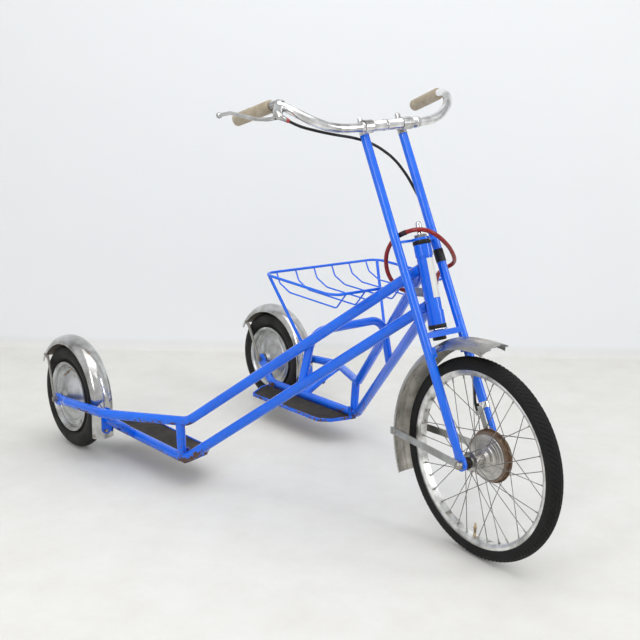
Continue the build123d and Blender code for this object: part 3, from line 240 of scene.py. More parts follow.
def platedMetal(name, code, roughness, rustAmount, scale=40.0, dull=0.0, mask=None, look=plateLook):
    # polished plate over steel: mirror bright, clouded by fine scratches, with brown freckles where it has
    # lifted; mask gives a level from 0 to 1 that turns whole places to the rough colours
    freckles = {"freckle": (scale, 8.0, 0.68)}
    material, tree, place, grain = newMaterial(name, {**look["grain"], **freckles})
    clouded = addNode(tree, "ValToRGB", {0: grain["cloud"]}, look["clouded"])
    inputs = {0: clouded, 6: colour(code), 7: colour(look["cloudColour"])}
    metal = addNode(tree, "Mix", inputs, data_type="RGBA").outputs[2]
    share = addNode(tree, "Math", {0: grain["cloud"], 1: look["cloudShare"]}, operation="MULTIPLY")
    freckle = addNode(tree, "Math", {0: grain["freckle"], 1: share}, operation="ADD")
    first, last = 0.86 - 0.16 * rustAmount, 0.93 - 0.12 * rustAmount
    bare = addNode(tree, "ValToRGB", {0: freckle}, [(first, 0x000000), (last, 0xFFFFFF)])
    rust = addNode(tree, "ValToRGB", {0: grain["rust"]}, look["rust"])
    base = addNode(tree, "Mix", {0: bare, 6: metal, 7: rust}, data_type="RGBA").outputs[2]
    if mask:
        whole = mask(tree, place)
        coarse = addNode(tree, "TexNoise", {"Vector": place, "Scale": 120.0, "Detail": 8.0, "Roughness": 0.7})
        inputs = {0: whole, 6: base, 7: addNode(tree, "ValToRGB", {0: coarse}, look["rough"])}
        base = addNode(tree, "Mix", inputs, data_type="RGBA").outputs[2]
        bare = addNode(tree, "Math", {0: bare, 1: whole}, operation="MAXIMUM")
    low, high = look["dulls"]
    inputs = {0: grain["cloud"], 1: low, 2: high, 3: roughness, 4: roughness + look["dulling"] + dull}
    smooth = addNode(tree, "MapRange", inputs)
    rusty = addNode(tree, "Math", {0: bare, 1: look["rustRoughness"]}, operation="MULTIPLY")
    rough = addNode(tree, "Math", {0: smooth, 1: rusty}, operation="MAXIMUM")
    oxide = addNode(tree, "Math", {0: bare, 1: look["rustShare"]}, operation="MULTIPLY")
    metallic = addNode(tree, "Math", {0: 1.0, 1: oxide}, operation="SUBTRACT")
    finishMaterial(tree, {"Base Color": base, "Roughness": rough, "Metallic": metallic}, freckle, look["relief"])
    return material


def drumMask(tree, place):  # the hub's iron drum, on the brake's side of its alloy cover
    return addNode(tree, "MapRange", {0: alongAxis(tree, place, frontCentre, frontAxis), 1: 0.0212, 2: 0.0222})


def rimHoleMask(tree, place):  # rust round the spoke holes, every ten degrees
    ahead = alongAxis(tree, place, frontCentre, np.cross(leftWay, [0, 0, 1]))
    up = alongAxis(tree, place, frontCentre, (0.0, 0.0, 1.0))
    angle = addNode(tree, "Math", {0: up, 1: ahead}, operation="ARCTAN2")
    turns = addNode(tree, "Math", {0: angle, 1: 36.0}, operation="MULTIPLY")
    hole = addNode(tree, "MapRange", {0: addNode(tree, "Math", {0: turns}, operation="COSINE"), 1: 0.35, 2: 0.9})
    side = addNode(tree, "Math", {0: alongAxis(tree, place, frontCentre, frontAxis)}, operation="ABSOLUTE")
    inner = addNode(tree, "MapRange", {0: side, 1: 0.0115, 2: 0.009})
    spread = addNode(tree, "TexNoise", {"Vector": place, "Scale": 26.0, "Detail": 5.0, "Roughness": 0.7})
    patchy = addNode(tree, "MapRange", {0: spread, 1: 0.48, 2: 0.62})
    level = addNode(tree, "Math", {0: hole, 1: inner}, operation="MULTIPLY")
    return addNode(tree, "Math", {0: level, 1: patchy}, operation="MULTIPLY")


liningLook = {
    "grain": {"sheet": (30.0, 8.0, 0.65), "rust": (52.0, 8.0, 0.7), "relief": (160.0, 3.0, 0.55)},
    "sheet": (0.3, 0.68), "rust": [(0.60, 0x000000), (0.68, 0xFFFFFF)], "rustShare": 0.7, "rustColour": 0x7A5B40,
    "relief": 0.0002,
}


def dullMetal(name, lowCode, highCode, roughness, metallic, look=liningLook):
    # sheet steel that was never polished or has lost its shine: cloudy, with streaks of brown
    material, tree, _, grain = newMaterial(name, look["grain"])
    sheet = addNode(tree, "ValToRGB", {0: grain["sheet"]}, list(zip(look["sheet"], (lowCode, highCode))))
    rust = addNode(tree, "ValToRGB", {0: grain["rust"]}, look["rust"])
    share = addNode(tree, "Math", {0: rust, 1: look["rustShare"]}, operation="MULTIPLY")
    inputs = {0: share, 6: sheet, 7: colour(look["rustColour"])}
    base = addNode(tree, "Mix", inputs, data_type="RGBA").outputs[2]
    inputs = {"Base Color": base, "Roughness": roughness, "Metallic": metallic}
    finishMaterial(tree, inputs, grain["relief"], look["relief"])
    return material


# the rib keys give the painted shade in the grooves of a ribbed mat
rubberLook = {
    "grain": {"dust": (18.0, 6.0, 0.6), "relief": (700.0, 2.0, 0.55)}, "dust": [(0.42, 0x000000), (0.72, 0xFFFFFF)],
    "relief": 0.0002, "ribDepth": 0.0006, "ribShade": 0.45, "ribColour": 0x15120F,
    "shader": {"IOR": 1.5, "Specular IOR Level": 0.25},
}


def mouldedRubber(name, code, dustCode, dusty, roughness=0.62, rib=0.0, look=rubberLook):
    # vulcanised rubber: near black, soft sheen, grey dust held in its pores, and ribs where rib gives their pitch,
    # their grooves darkened with painted shade
    material, tree, place, grain = newMaterial(name, look["grain"])
    dust = addNode(tree, "ValToRGB", {0: grain["dust"]}, look["dust"])
    share = addNode(tree, "Math", {0: dust, 1: dusty}, operation="MULTIPLY")
    base = addNode(tree, "Mix", {0: share, 6: colour(code), 7: colour(dustCode)}, data_type="RGBA").outputs[2]
    relief, depth = grain["relief"], look["relief"]
    if rib:
        across = addNode(tree, "SeparateXYZ", {0: place}).outputs["Y"]
        turns = addNode(tree, "Math", {0: across, 1: math.tau / rib}, operation="MULTIPLY")
        relief, depth = addNode(tree, "Math", {0: turns}, operation="COSINE"), look["ribDepth"]
        # painted shade: the grooves between the ribs are mixed towards a near black colour
        shade = addNode(tree, "MapRange", {0: relief, 1: 0.2, 2: -0.8, 3: 0.0, 4: look["ribShade"]})
        inputs = {0: shade, 6: base, 7: colour(look["ribColour"])}
        base = addNode(tree, "Mix", inputs, data_type="RGBA").outputs[2]
    finishMaterial(tree, {"Base Color": base, "Roughness": roughness, **look["shader"]}, relief, depth)
    return material


gripLook = {
    "grain": {"fleck": (420.0, 4.0, 0.7), "worn": (36.0, 5.0, 0.55)}, "fleck": [(0.4, 0x96897A), (0.62, 0xC3B8A2)],
    "worn": [(0.38, 0xA09078), (0.7, 0xCDC3AE)], "relief": 0.0003, "shader": {"Roughness": 0.72, "IOR": 1.48},
}


def corkRubber(name, look=gripLook):
    # moulded soft rubber grip, beige with darker hand-worn patches and fine flecks
    material, tree, _, grain = newMaterial(name, look["grain"])
    fleck, worn = (addNode(tree, "ValToRGB", {0: grain[key]}, look[key]) for key in ("fleck", "worn"))
    base = addNode(tree, "Mix", {0: 0.5, 6: fleck, 7: worn}, data_type="RGBA").outputs[2]
    finishMaterial(tree, {"Base Color": base, **look["shader"]}, grain["fleck"], look["relief"])
    return material


plasticLook = {
    "grain": {"haze": (45.0, 5.0, 0.55)}, "haze": (0.35, 0.7), "hazing": 0.18,
    "shader": {"IOR": 1.5, "Specular IOR Level": 0.35, "Coat Weight": 0.1},
}


def mouldedPlastic(name, code, roughness, look=plasticLook):
    # smooth plastic sheath or sleeve with a slight haze of handling
    material, tree, _, grain = newMaterial(name, look["grain"])
    low, high = look["haze"]
    inputs = {0: grain["haze"], 1: low, 2: high, 3: roughness, 4: roughness + look["hazing"]}
    haze = addNode(tree, "MapRange", inputs)
    finishMaterial(tree, {"Base Color": colour(code), "Roughness": haze, **look["shader"]})
    return material


enamel = sprayedEnamel("sprayedBlueEnamel", 1.0)
deckEnamel = sprayedEnamel("wornDeckEnamel", 1.9)
chrome = platedMetal("chromePlatedTube", 0xF6F6F6, 0.08, 0.12)
mudguardChrome = platedMetal("chromedMudguardSteel", 0xCECECD, 0.07, 0.42, 30.0, 0.03)
wornChrome = platedMetal("wornMudguardChrome", 0xBDBBB6, 0.2, 0.62, 26.0, 0.1)
rimSteel = platedMetal("brushedRimSteel", 0xF6F6F4, 0.26, 0.2, 55.0, 0.0, rimHoleMask)
discSteel = platedMetal("silverPressedSteel", 0xCDCFD0, 0.34, 0.12)
spokeSteel = platedMetal("zincSpokeWire", 0x69655F, 0.4, 0.4, 90.0)
hubAlloy = platedMetal("polishedHubAlloy", 0xCFCBC5, 0.3, 0.12, 60.0, 0.0, drumMask)
zinc = platedMetal("zincPlatedHardware", 0x9E9A92, 0.38, 0.6, 80.0)
stayZinc = platedMetal("brightStaySteel", 0xB9BBBA, 0.3, 0.1, 80.0)
leverAlloy = platedMetal("polishedLeverAlloy", 0xD4D4D3, 0.16, 0.0)
brass = platedMetal("dulledValveBrass", 0xB39A6B, 0.4, 0.1, 90.0)
tyreRubber = mouldedRubber("vulcanisedTyreRubber", 0x0D0D0D, 0x242322, 0.3)
oldTyreRubber = mouldedRubber("dustyTyreRubber", 0x171716, 0x45423D, 0.4)
matRubber = mouldedRubber("ribbedMatRubber", 0x33302C, 0x5F564B, 0.6, 0.75, 0.0045)
greasyRubber = mouldedRubber("greasyHeadsetSeal", 0x141312, 0x3A3026, 0.5, 0.4)
cableSheath = mouldedPlastic("blackCableSheath", 0x0E0E0E, 0.3)
lockSheath = mouldedPlastic("redLockSheath", 0x8C1412, 0.14)
# painted shadow: a near-black plastic for the sleeve that stands for the shade on the red cable behind the right
# blade
shadowSleevePlastic = mouldedPlastic("darkCableSleeve", 0x2A0F0D, 0.3)
lockPlastic = mouldedPlastic("greyLockHousing", 0x9A9C9E, 0.35)
ferrulePlastic = mouldedPlastic("redCableFerrule", 0xB5443C, 0.35)
tapeVinyl = mouldedPlastic("blackVinylTape", 0x0B0B0B, 0.32)
labelFilm = mouldedPlastic("blankLabelFilm", 0xD9DAD6, 0.35)
gripRubber = corkRubber("beigeGripRubber")
greyLining = dullMetal("greyMudguardLining", 0x837F76, 0xC0BCB3, 0.45, 0.35)
rustyLining = dullMetal("rustyMudguardLining", 0x4B4036, 0x8C8378, 0.7, 0.2)
print("materials made")

finishes = {
    "headset": hubAlloy, "handlebar": chrome, "bar_stem_right": chrome, "bar_stem_left": chrome,
    "steering_stem": zinc, "brake_lever": leverAlloy, "lever_bracket": leverAlloy, "front_axle": zinc,
    "front_mudguard": wornChrome, "front_mudguard_stays": stayZinc, "brake_plate": stayZinc, "torque_clamp": chrome,
    "brake_arm": zinc, "brake_cable": cableSheath, "cable_tape": tapeVinyl, "lock_body": lockPlastic,
    "lock_cable": lockSheath, "front_tyre": tyreRubber, "front_rim": rimSteel, "front_hub": hubAlloy,
    "front_spokes": spokeSteel, "grip_right": gripRubber, "grip_left": gripRubber,
}
for side in ("right", "left"):
    finishes[f"deck_{side}"] = deckEnamel
    finishes[f"deck_mat_{side}"] = matRubber
    finishes[f"rear_axle_{side}"] = zinc
    finishes[f"rear_tyre_{side}"] = oldTyreRubber
    finishes[f"rear_wheel_{side}"] = discSteel
    finishes[f"rear_mudguard_{side}"] = mudguardChrome
    finishes[f"mudguard_stays_{side}"] = zinc
for name, obj in nodes.items():
    obj.data.materials.clear()
    obj.data.materials.append(finishes.get(name, enamel))


def gridFaces(rows, columns, wrapRows=False, wrapColumns=False):  # quads between neighbours of a grid of points
    row = np.arange(rows if wrapRows else rows - 1)[:, None]
    column = np.arange(columns if wrapColumns else columns - 1)[None, :]
    nextRow, nextColumn = (row + 1) % rows, (column + 1) % columns
    near, far = row * columns, nextRow * columns
    return np.stack((near + column, near + nextColumn, far + nextColumn, far + column), axis=-1).reshape(-1, 4)


def smoothMesh(name, points, faces, materials, faceMaterial=None):
    # points in a grid or a list, faces of four corners, all shaded smooth; faceMaterial gives each face's slot
    mesh = bpy.data.meshes.new(name)
    mesh.from_pydata(np.asarray(points).reshape(-1, 3).tolist(), [], faces.tolist())
    for material in materials:
        mesh.materials.append(material)
    if faceMaterial is not None:
        mesh.polygons.foreach_set("material_index", np.asarray(faceMaterial, np.int32))
    mesh.polygons.foreach_set("use_smooth", np.full(len(faces), True))
    mesh.update()
    return mesh


def addPiece(name, points, faces, materials, body, faceMaterial=None):  # a smooth mesh that rides on a body
    obj = newObject(name, smoothMesh(name, points, faces, materials, faceMaterial))
    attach(obj, body)
    return obj


def joined(parts):  # several surfaces, each its points and faces, as one
    starts = np.cumsum([0] + [len(points) for points, _ in parts[:-1]])
    return np.vstack([points for points, _ in parts]), np.vstack([faces + k for (_, faces), k in zip(parts, starts)])


def sideways(direction):  # two unit vectors square to each direction and to each other
    direction = np.atleast_2d(direction)
    helper = np.where(np.abs(direction[:, 2:3]) < 0.9, [[0.0, 0.0, 1.0]], [[1.0, 0.0, 0.0]])
    first = np.cross(helper, direction)
    first = first / np.linalg.norm(first, axis=1, keepdims=True)
    return first, np.cross(direction, first)


def turned(profile, places, directions, sides=20):
    # profile's (height, radius) pairs turned round each direction: place + height d + radius (a cos t + b sin t)
    profile, places = np.asarray(profile, float), np.atleast_2d(places)
    directions = np.atleast_2d(directions) / np.linalg.norm(np.atleast_2d(directions), axis=1, keepdims=True)
    first, second = sideways(directions)
    t = np.linspace(0, math.tau, sides, endpoint=False)
    ring = first[:, None, :] * np.cos(t)[:, None] + second[:, None, :] * np.sin(t)[:, None]
    heights = profile[None, :, 0, None, None] * directions[:, None, None, :]
    points = places[:, None, None, :] + heights + profile[None, :, 1, None, None] * ring[:, None, :, :]
    faces = gridFaces(len(profile), sides, wrapColumns=True)
    steps = np.arange(len(places))[:, None, None] * len(profile) * sides
    return points.reshape(-1, 3), (faces[None] + steps).reshape(-1, 4)


def addTurned(name, profile, place, way, sides, material, body, move=np.asarray):  # one turned piece
    points, faces = turned(profile, place, way, sides)
    return addPiece(name, move(points), faces, [material], body)


def unit(vector):  # a vector over its own length
    return vector / np.linalg.norm(vector)


def bezier(first, firstHandle, lastHandle, last, count=24):  # (1-t)^3 A + 3 (1-t)^2 t B + 3 (1-t) t^2 C + t^3 D
    t = np.linspace(0, 1, count)[:, None]
    return first * (1 - t) ** 3 + 3 * firstHandle * (1 - t) ** 2 * t + 3 * lastHandle * (1 - t) * t**2 + last * t**3


def bentTube(path, radii, sides):  # a ring of each radius square to the path; frames are carried on without twist
    tangent = np.gradient(path, axis=0)
    tangent = tangent / np.linalg.norm(tangent, axis=1, keepdims=True)
    first = [sideways(tangent[0])[0][0]]
    for way in tangent[1:]:
        carried = first[-1] - way * (first[-1] @ way)
        first.append(carried / np.linalg.norm(carried))
    first = np.array(first)
    second = np.cross(tangent, first)
    t = np.linspace(0, math.tau, sides, endpoint=False)
    ring = first[:, None, :] * np.cos(t)[:, None] + second[:, None, :] * np.sin(t)[:, None]
    points = path[:, None, :] + np.asarray(radii)[:, None, None] * ring
    return points.reshape(-1, 3), gridFaces(len(path), sides, wrapColumns=True)


def pinProfile(radius, height):  # a straight side and a half-round end
    t = np.linspace(0, math.pi / 2, 9)
    heights, radii = height - radius + radius * np.sin(t), radius * np.cos(t) + 1e-5
    return np.column_stack([np.r_[0.0, heights], np.r_[radius, radii]])


def domeProfile(radius, height):  # a low dome on a short straight side
    t = np.linspace(0, math.pi / 2, 7)
    heights, radii = height * (0.4 + 0.6 * np.sin(t)), radius * np.cos(t) + 1e-5
    return np.column_stack([np.r_[0.0, heights], np.r_[radius, radii]])


# the lock's cable: a spline on the part's route, in metres ahead of the rear axle
lockRoute = [
    (1.0290, 0.0510, 0.5890), (1.0250, 0.0620, 0.6000), (1.0150, 0.0740, 0.6140), (1.0050, 0.0900, 0.6260),
    (1.0010, 0.1120, 0.6340), (1.0040, 0.1240, 0.6380), (1.0120, 0.1310, 0.6450), (1.0230, 0.1270, 0.6540),
    (1.0350, 0.1130, 0.6650), (1.0450, 0.0940, 0.6810), (1.0530, 0.0710, 0.6990), (1.0580, 0.0480, 0.7140),
    (1.0590, 0.0280, 0.7270), (1.0560, 0.0090, 0.7380), (1.0490, -0.0050, 0.7440), (1.0380, -0.0160, 0.7460),
    (1.0240, -0.0250, 0.7430), (1.0100, -0.0328, 0.7370), (0.9960, -0.0402, 0.7290), (0.9800, -0.0432, 0.7160),
    (0.9640, -0.0400, 0.7000), (0.9500, -0.0350, 0.6800), (0.9420, -0.0290, 0.6590), (0.9400, -0.0230, 0.6380),
    (0.9440, -0.0170, 0.6190), (0.9530, -0.0110, 0.6050), (0.9660, -0.0070, 0.5960), (0.9800, -0.0060, 0.5910),
]
lockBarrel = {"middle": (1.0117, 0.0200, 0.5876), "way": (0.62, 0.78, -0.08), "length": 0.028, "lead": 0.011}
lockCable = {"radius": 0.00525, "start": 0.60, "end": 0.725, "blendBack": 0.02, "steps": 8, "roundness": 6}
# the sleeve is painted shadow: a dark tube round the cable where it passes behind the right blade in shade
lockShadowSleeve = {"middle": (1.003, -0.0365, 0.733), "reach": 0.0105, "radius": 0.0061, "sides": 20}


def makeLock():  # a tube on the line that the spline gives, and a short dark sleeve on the same line at the right blade, painted shadow where the cable passes behind the blade in shade
    way = np.array(lockBarrel["way"]) / np.linalg.norm(lockBarrel["way"])
    middle, half, lead = np.array(lockBarrel["middle"]), way * lockBarrel["length"] / 2, way * lockBarrel["lead"]
    route = [middle + half, middle + half + lead, *np.array(lockRoute), middle - half - lead, middle - half]
    route = np.array(route) + [rearAxleX, 0, 0]
    curve = bpy.data.curves.new("lockRoute", "CURVE")
    curve.dimensions = "3D"
    curve.resolution_u, curve.bevel_resolution = lockCable["steps"], lockCable["roundness"]
    spline = curve.splines.new("NURBS")
    spline.points.add(len(route) - 1)
    spline.points.foreach_set("co", np.column_stack([route, np.ones(len(route))]).ravel())
    spline.order_u = 3
    spline.use_endpoint_u = True
    holder = bpy.data.objects.new("lockRoute", curve)
    line = bpy.data.meshes.new_from_object(holder)
    path = np.array([vertex.co[:] for vertex in line.vertices])
    curve.bevel_depth = lockCable["radius"]
    mesh = bpy.data.meshes.new_from_object(holder)
    bpy.data.objects.remove(holder)
    mesh.name = "lockCableSheath"
    mesh.materials.clear()
    mesh.materials.append(lockSheath)
    obj = newObject("lockCableSheath", mesh)
    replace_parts(obj, "lock_cable")
    # painted shadow: a dark sleeve round the cable's shaded stretch behind the right blade
    shadowSleeveMiddle = np.array(lockShadowSleeve["middle"]) + [rearAxleX, 0, 0]
    near = np.flatnonzero(np.linalg.norm(path - shadowSleeveMiddle, axis=1) < lockShadowSleeve["reach"])
    tube = bentTube(path[near[0]:near[-1] + 1], np.full(len(near), lockShadowSleeve["radius"]), lockShadowSleeve["sides"])
    sleeve = addPiece("lockCableSleeve", *tube, [shadowSleevePlastic], "steering")
    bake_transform(obj)


makeLock()
print("lock made")

# tyres: the section's angle a runs from side to side over the crown, u runs round the wheel; treadCut says how
# steep the cut blocks and their edges are, how wide the lines are, and where the two ribs on the side stand
treadCut = {"steep": 3.2, "level": 1.3, "fade": 12, "plain": 0.7, "line": 0.035, "rim": (0.3, 0.72, 0.04),
            "wear": (0.2, 1.15, 0.03)}
frontTyre = {"ring": 0.2198, "section": 0.0195, "edge": 2.02, "beadHalf": 0.0108, "bead": 0.2088, "blocks": 118,
             "around": 1200, "across": 49, "depth": 0.0021, "tread": 1.12, "lean": 5.0, "grooves": (0.17, 0.6)}
rearTyre = {"ring": 0.129, "section": 0.026, "edge": 2.62, "beadHalf": 0.0205, "bead": 0.1045, "blocks": 60,
            "around": 480, "across": 61, "depth": 0.0011, "tread": 0.72, "lean": 2.0, "grooves": (0.12, 0.36, 0.6)}


def bell(angle, middle, half):  # exp(-((|angle| - middle) / half)^2), the same on both sides of the crown
    return np.exp(-(((np.abs(angle) - middle) / half) ** 2))


def makeTyre(name, values, centre, axis, material, body, node):
    # radius = ring + (section - depth g) cos a, across = (section - depth g) sin a; g is 1 in a groove: across the
    # tread where cos(blocks u + lean |a|) is high, round it at the listed angles, and in fine lines on the sides
    a = np.linspace(-values["edge"], values["edge"], values["across"])[None, :]
    u = np.linspace(0, math.tau, values["around"], endpoint=False)[:, None]
    wave = np.cos(values["blocks"] * u + values["lean"] * np.abs(a) * 2)
    across = np.clip(treadCut["steep"] * wave - treadCut["level"], 0, 1)
    tread = np.clip((values["tread"] - np.abs(a)) * treadCut["fade"], 0, 1)
    line = sum(bell(a, middle, treadCut["line"]) for middle in values["grooves"])
    (rimDepth, rimAt, rimHalf), (wearDepth, wearAt, wearHalf) = treadCut["rim"], treadCut["wear"]
    rib = rimDepth * bell(a, values["edge"] * rimAt, rimHalf) + wearDepth * bell(a, wearAt, wearHalf)
    beside = np.abs(a) > values["grooves"][0] * treadCut["plain"]
    groove = tread * np.clip(across * beside + line, 0, 1) + rib
    r = values["section"] - values["depth"] * groove
    radius, side = values["ring"] + r * np.cos(a), r * np.sin(a) + 0 * u
    bead = np.full((values["around"], 1), values["beadHalf"])
    side = np.hstack([-bead, side, bead])
    radius = np.hstack([bead * 0 + values["bead"], radius, bead * 0 + values["bead"]])
    first, second = (v[0] for v in sideways(axis))
    spin = first * np.cos(u)[..., None] + second * np.sin(u)[..., None]
    points = centre + radius[..., None] * spin + side[..., None] * axis
    obj = addPiece(name, points, gridFaces(values["around"], side.shape[1], wrapRows=True), [material], body)
    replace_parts(obj, node)


makeTyre("frontTreadTyre", frontTyre, frontCentre, frontAxis, tyreRubber, "front_wheel", "front_tyre")
for side, centre in rearCentres.items():
    makeTyre(f"rearTreadTyre_{side}", rearTyre, centre, leftWay, oldTyreRubber, f"rear_wheel_{side}",
             f"rear_tyre_{side}")
print("tyres made")

# mudguards: a rolled section with a beaded edge, carried round the wheel and straight on at its front end
frontGuard = {"crown": 0.282, "rise": 0.024, "half": 0.040, "reach": 84.0, "start": 95.0, "end": 203.5,
              "straight": 0.072, "ridge": 0.0022, "ridgeHalf": 0.006, "bead": 0.0012, "ragged": 0.030, "droop": 0.006}
rearGuard = {"crown": 0.183, "rise": 0.024, "half": 0.033, "reach": 88.0, "start": 0.0, "end": 150.0,
             "straight": 0.085, "ridge": 0.0, "ridgeHalf": 0.006, "bead": 0.0015, "ragged": 0.0, "droop": 0.0}
guardSection = {"sheet": 0.0012, "across": 37, "curl": 8, "around": 110, "ahead": 26}


def makeMudguard(name, values, centre, materials, body, node, place):
    # the section is part of an ellipse: y = half sin f / sin F, height = crown - rise (1 - cos f), f from -F to F;
    # a point is centre + radius (cos t, 0, sin t) + across y; ahead of the start angle it goes straight on for a
    # distance s, where the front one is torn back at its sides by side^5 and two waves
    f = np.radians(np.linspace(-values["reach"], values["reach"], guardSection["across"]))
    y = values["half"] * np.sin(f) / math.sin(math.radians(values["reach"]))
    ridge = values["ridge"] * np.clip(1 - (y / values["ridgeHalf"]) ** 2, 0, 1)
    height = values["crown"] - values["rise"] * (1 - np.cos(f)) + ridge
    outer = np.column_stack([y, height])
    inward = np.column_stack([-np.sin(f), -np.cos(f)]) * guardSection["sheet"]
    inner = (outer + inward)[::-1]
    turn = np.linspace(0, math.tau, guardSection["curl"], endpoint=False)[1:]
    curl = np.column_stack([np.cos(-turn), np.sin(-turn)]) * values["bead"]
    right = outer[-1] - [values["bead"], 0] + curl
    section = np.vstack([outer, right, inner, (right * [-1, 1])[::-1]])
    arc = np.radians(np.linspace(values["end"], values["start"], guardSection["around"]))
    ahead = np.linspace(0, 1, guardSection["ahead"])[1:]
    angle = np.r_[arc, np.full(len(ahead), arc[-1])][:, None]
    share = np.r_[np.zeros(len(arc)), ahead][:, None]
    side = section[None, :, 0] / values["half"]
    torn = values["ragged"] * np.clip(np.abs(side) ** 5 + 0.12 * np.sin(9 * side) + 0.08 * np.cos(23 * side), -0.2, 1)
    s = share * (values["straight"] - torn)
    radius = section[None, :, 1] - values["droop"] * share**2
    y = section[None, :, 0] + 0 * angle
    radial = np.stack([np.cos(angle), 0 * angle, np.sin(angle)], -1)
    forward = np.stack([np.sin(angle), 0 * angle, -np.cos(angle)], -1)
    points = centre + radius[..., None] * radial + s[..., None] * forward + y[..., None] * leftWay
    count = len(section)
    faces = gridFaces(len(angle), count, wrapColumns=True)
    column = np.tile(np.arange(count), len(angle) - 1)
    lining = (column >= len(outer) + len(right)) & (column < len(outer) + len(right) + len(inner) - 1)
    obj = addPiece(name, place(points.reshape(-1, 3)), faces, materials, body, lining)
    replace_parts(obj, node)


makeMudguard("frontRolledMudguard", frontGuard, straightCentre, [wornChrome, greyLining], "steering",
             "front_mudguard", turnParked)
for side, centre in rearCentres.items():
    makeMudguard(f"rearRolledMudguard_{side}", rearGuard, centre, [mudguardChrome, rustyLining], "frame",
                 f"rear_mudguard_{side}", np.asarray)
print("mudguards made")

# domed nuts and bolt heads: place, way out, radius, height; heads are given as radius and height
frameBolt = {"plateAhead": 0.186, "plateMiddle": 0.124, "plateSpacing": 0.030, "plateHead": (0.005, 0.0035),
             "stayAngle": 140.0, "stayRadius": 0.163, "staySide": 0.0328, "stayHead": (0.0045, 0.003)}
forkBolt = {"axleSide": 0.0654, "axleNut": (0.0098, 0.0125), "stayBack": 0.258, "staySide": 0.0428,
            "stayHead": (0.0055, 0.004)}


def roundAxle(degrees, radius, side=0.0):  # (radius cos, side, radius sin) of an angle from straight ahead
    angle = np.radians(degrees)
    return np.stack([radius * np.cos(angle), side + 0 * angle, radius * np.sin(angle)], axis=-1)


frameBolts = []
for centre in rearCentres.values():
    for rise in (-frameBolt["plateSpacing"], frameBolt["plateSpacing"]):
        place = (centre[0] + frameBolt["plateAhead"], centre[1], frameBolt["plateMiddle"] + rise)
        frameBolts.append((place, (1, 0, 0), *frameBolt["plateHead"]))
    for way in (-leftWay, leftWay):
        place = centre + roundAxle(frameBolt["stayAngle"], frameBolt["stayRadius"]) + way * frameBolt["staySide"]
        frameBolts.append((place, way, *frameBolt["stayHead"]))
forkBolts = [(straightCentre - leftWay * forkBolt["axleSide"], -leftWay, *forkBolt["axleNut"])]
for way in (-leftWay, leftWay):
    place = straightCentre + [-forkBolt["stayBack"], 0, 0] + way * forkBolt["staySide"]
    forkBolts.append((place, way, *forkBolt["stayHead"]))

guardPlate = {"thick": 0.003, "half": 0.015, "tall": 0.078, "height": 0.124, "web": 0.008, "webEnd": 0.260,
              "around": 48, "webSides": 24, "sharp": 40.0}


def makeGuardPlate(side, values):
    # a plate with round ends, its outline (half cos t, half sin t + or - straight), and a round web ahead of it
    t = np.linspace(0, math.tau, values["around"], endpoint=False)
    straight = np.sign(np.sin(t) + 1e-9) * (values["tall"] / 2 - values["half"])
    outline = np.column_stack([values["half"] * np.cos(t), values["half"] * np.sin(t) + straight])
    x, y = rearCentres[side][:2]
    face, height = x + rearGuard["crown"], values["height"]
    plate = []
    for out, share in ((0.0, 0.0), (0.0, 1.0), (values["thick"], 1.0), (values["thick"], 0.0)):
        across, up = (outline * share).T
        plate.append(np.column_stack([np.full(len(t), face + out), y + across, height + up]))
    webProfile = [(0, values["web"]), (values["webEnd"] - rearGuard["crown"], values["web"])]
    web = turned(webProfile, (face, y, height), (1, 0, 0), values["webSides"])
    parts = [(np.vstack(plate), gridFaces(4, len(t), wrapColumns=True)), web]
    obj = addPiece(f"guardPlate_{side}", *joined(parts), [enamel], "frame")
    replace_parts(obj, f"mudguard_bracket_{side}")
    split = obj.modifiers.new("sharpEdges", "EDGE_SPLIT")
    split.split_angle = math.radians(values["sharp"])


for side in rearCentres:
    makeGuardPlate(side, guardPlate)


def makeBolts(name, rows, move, body):  # a dome for each row, all in one piece
    points, faces = joined([turned(domeProfile(radius, height), place, way) for place, way, radius, height in rows])
    addPiece(name, move(points), faces, [zinc], body)


makeBolts("frameBoltHeads", frameBolts, np.asarray, "frame")
makeBolts("forkBoltHeads", forkBolts, turnParked, "steering")

# spoke nipples; the spokes cross as they do in the part
spokeSets = ({"flange": -0.0318, "holes": 0.0195, "lead": 60.0, "turn": 0.0},
             {"flange": 0.0342, "holes": 0.062, "lead": 40.0, "turn": 10.0})
nipple = {"seat": 0.1962, "rimShare": 0.06, "count": 18, "sides": 10, "length": 0.011, "radius": 0.0019,
          "tip": 0.0014, "wire": 0.0009}


def makeNipples(values):
    # spoke k leaves the flange at turn + 360 k / count degrees and meets the rim lead degrees on or back by turns;
    # a nipple stands at its rim end and points at its flange end
    ends, ways = [], []
    k = np.arange(values["count"])
    lean = np.where(k % 2 == 0, 1, -1)
    for spokes in spokeSets:
        hubAngle = spokes["turn"] + 360 / values["count"] * k
        rim = roundAxle(hubAngle + lean * spokes["lead"], values["seat"], spokes["flange"] * values["rimShare"])
        ends.append(rim)
        ways.append(roundAxle(hubAngle, spokes["holes"], spokes["flange"]) - rim)
    length, r = values["length"], values["radius"]
    profile = [(0, r * 1.5), (0.001, r * 1.5), (0.0012, r), (length * 0.8, r), (length, values["tip"]),
               (length + 0.0003, values["wire"])]
    places = straightCentre + np.vstack(ends)
    addTurned("spokeNipples", profile, places, np.vstack(ways), values["sides"], zinc, "front_wheel", turnParked)


makeNipples(nipple)

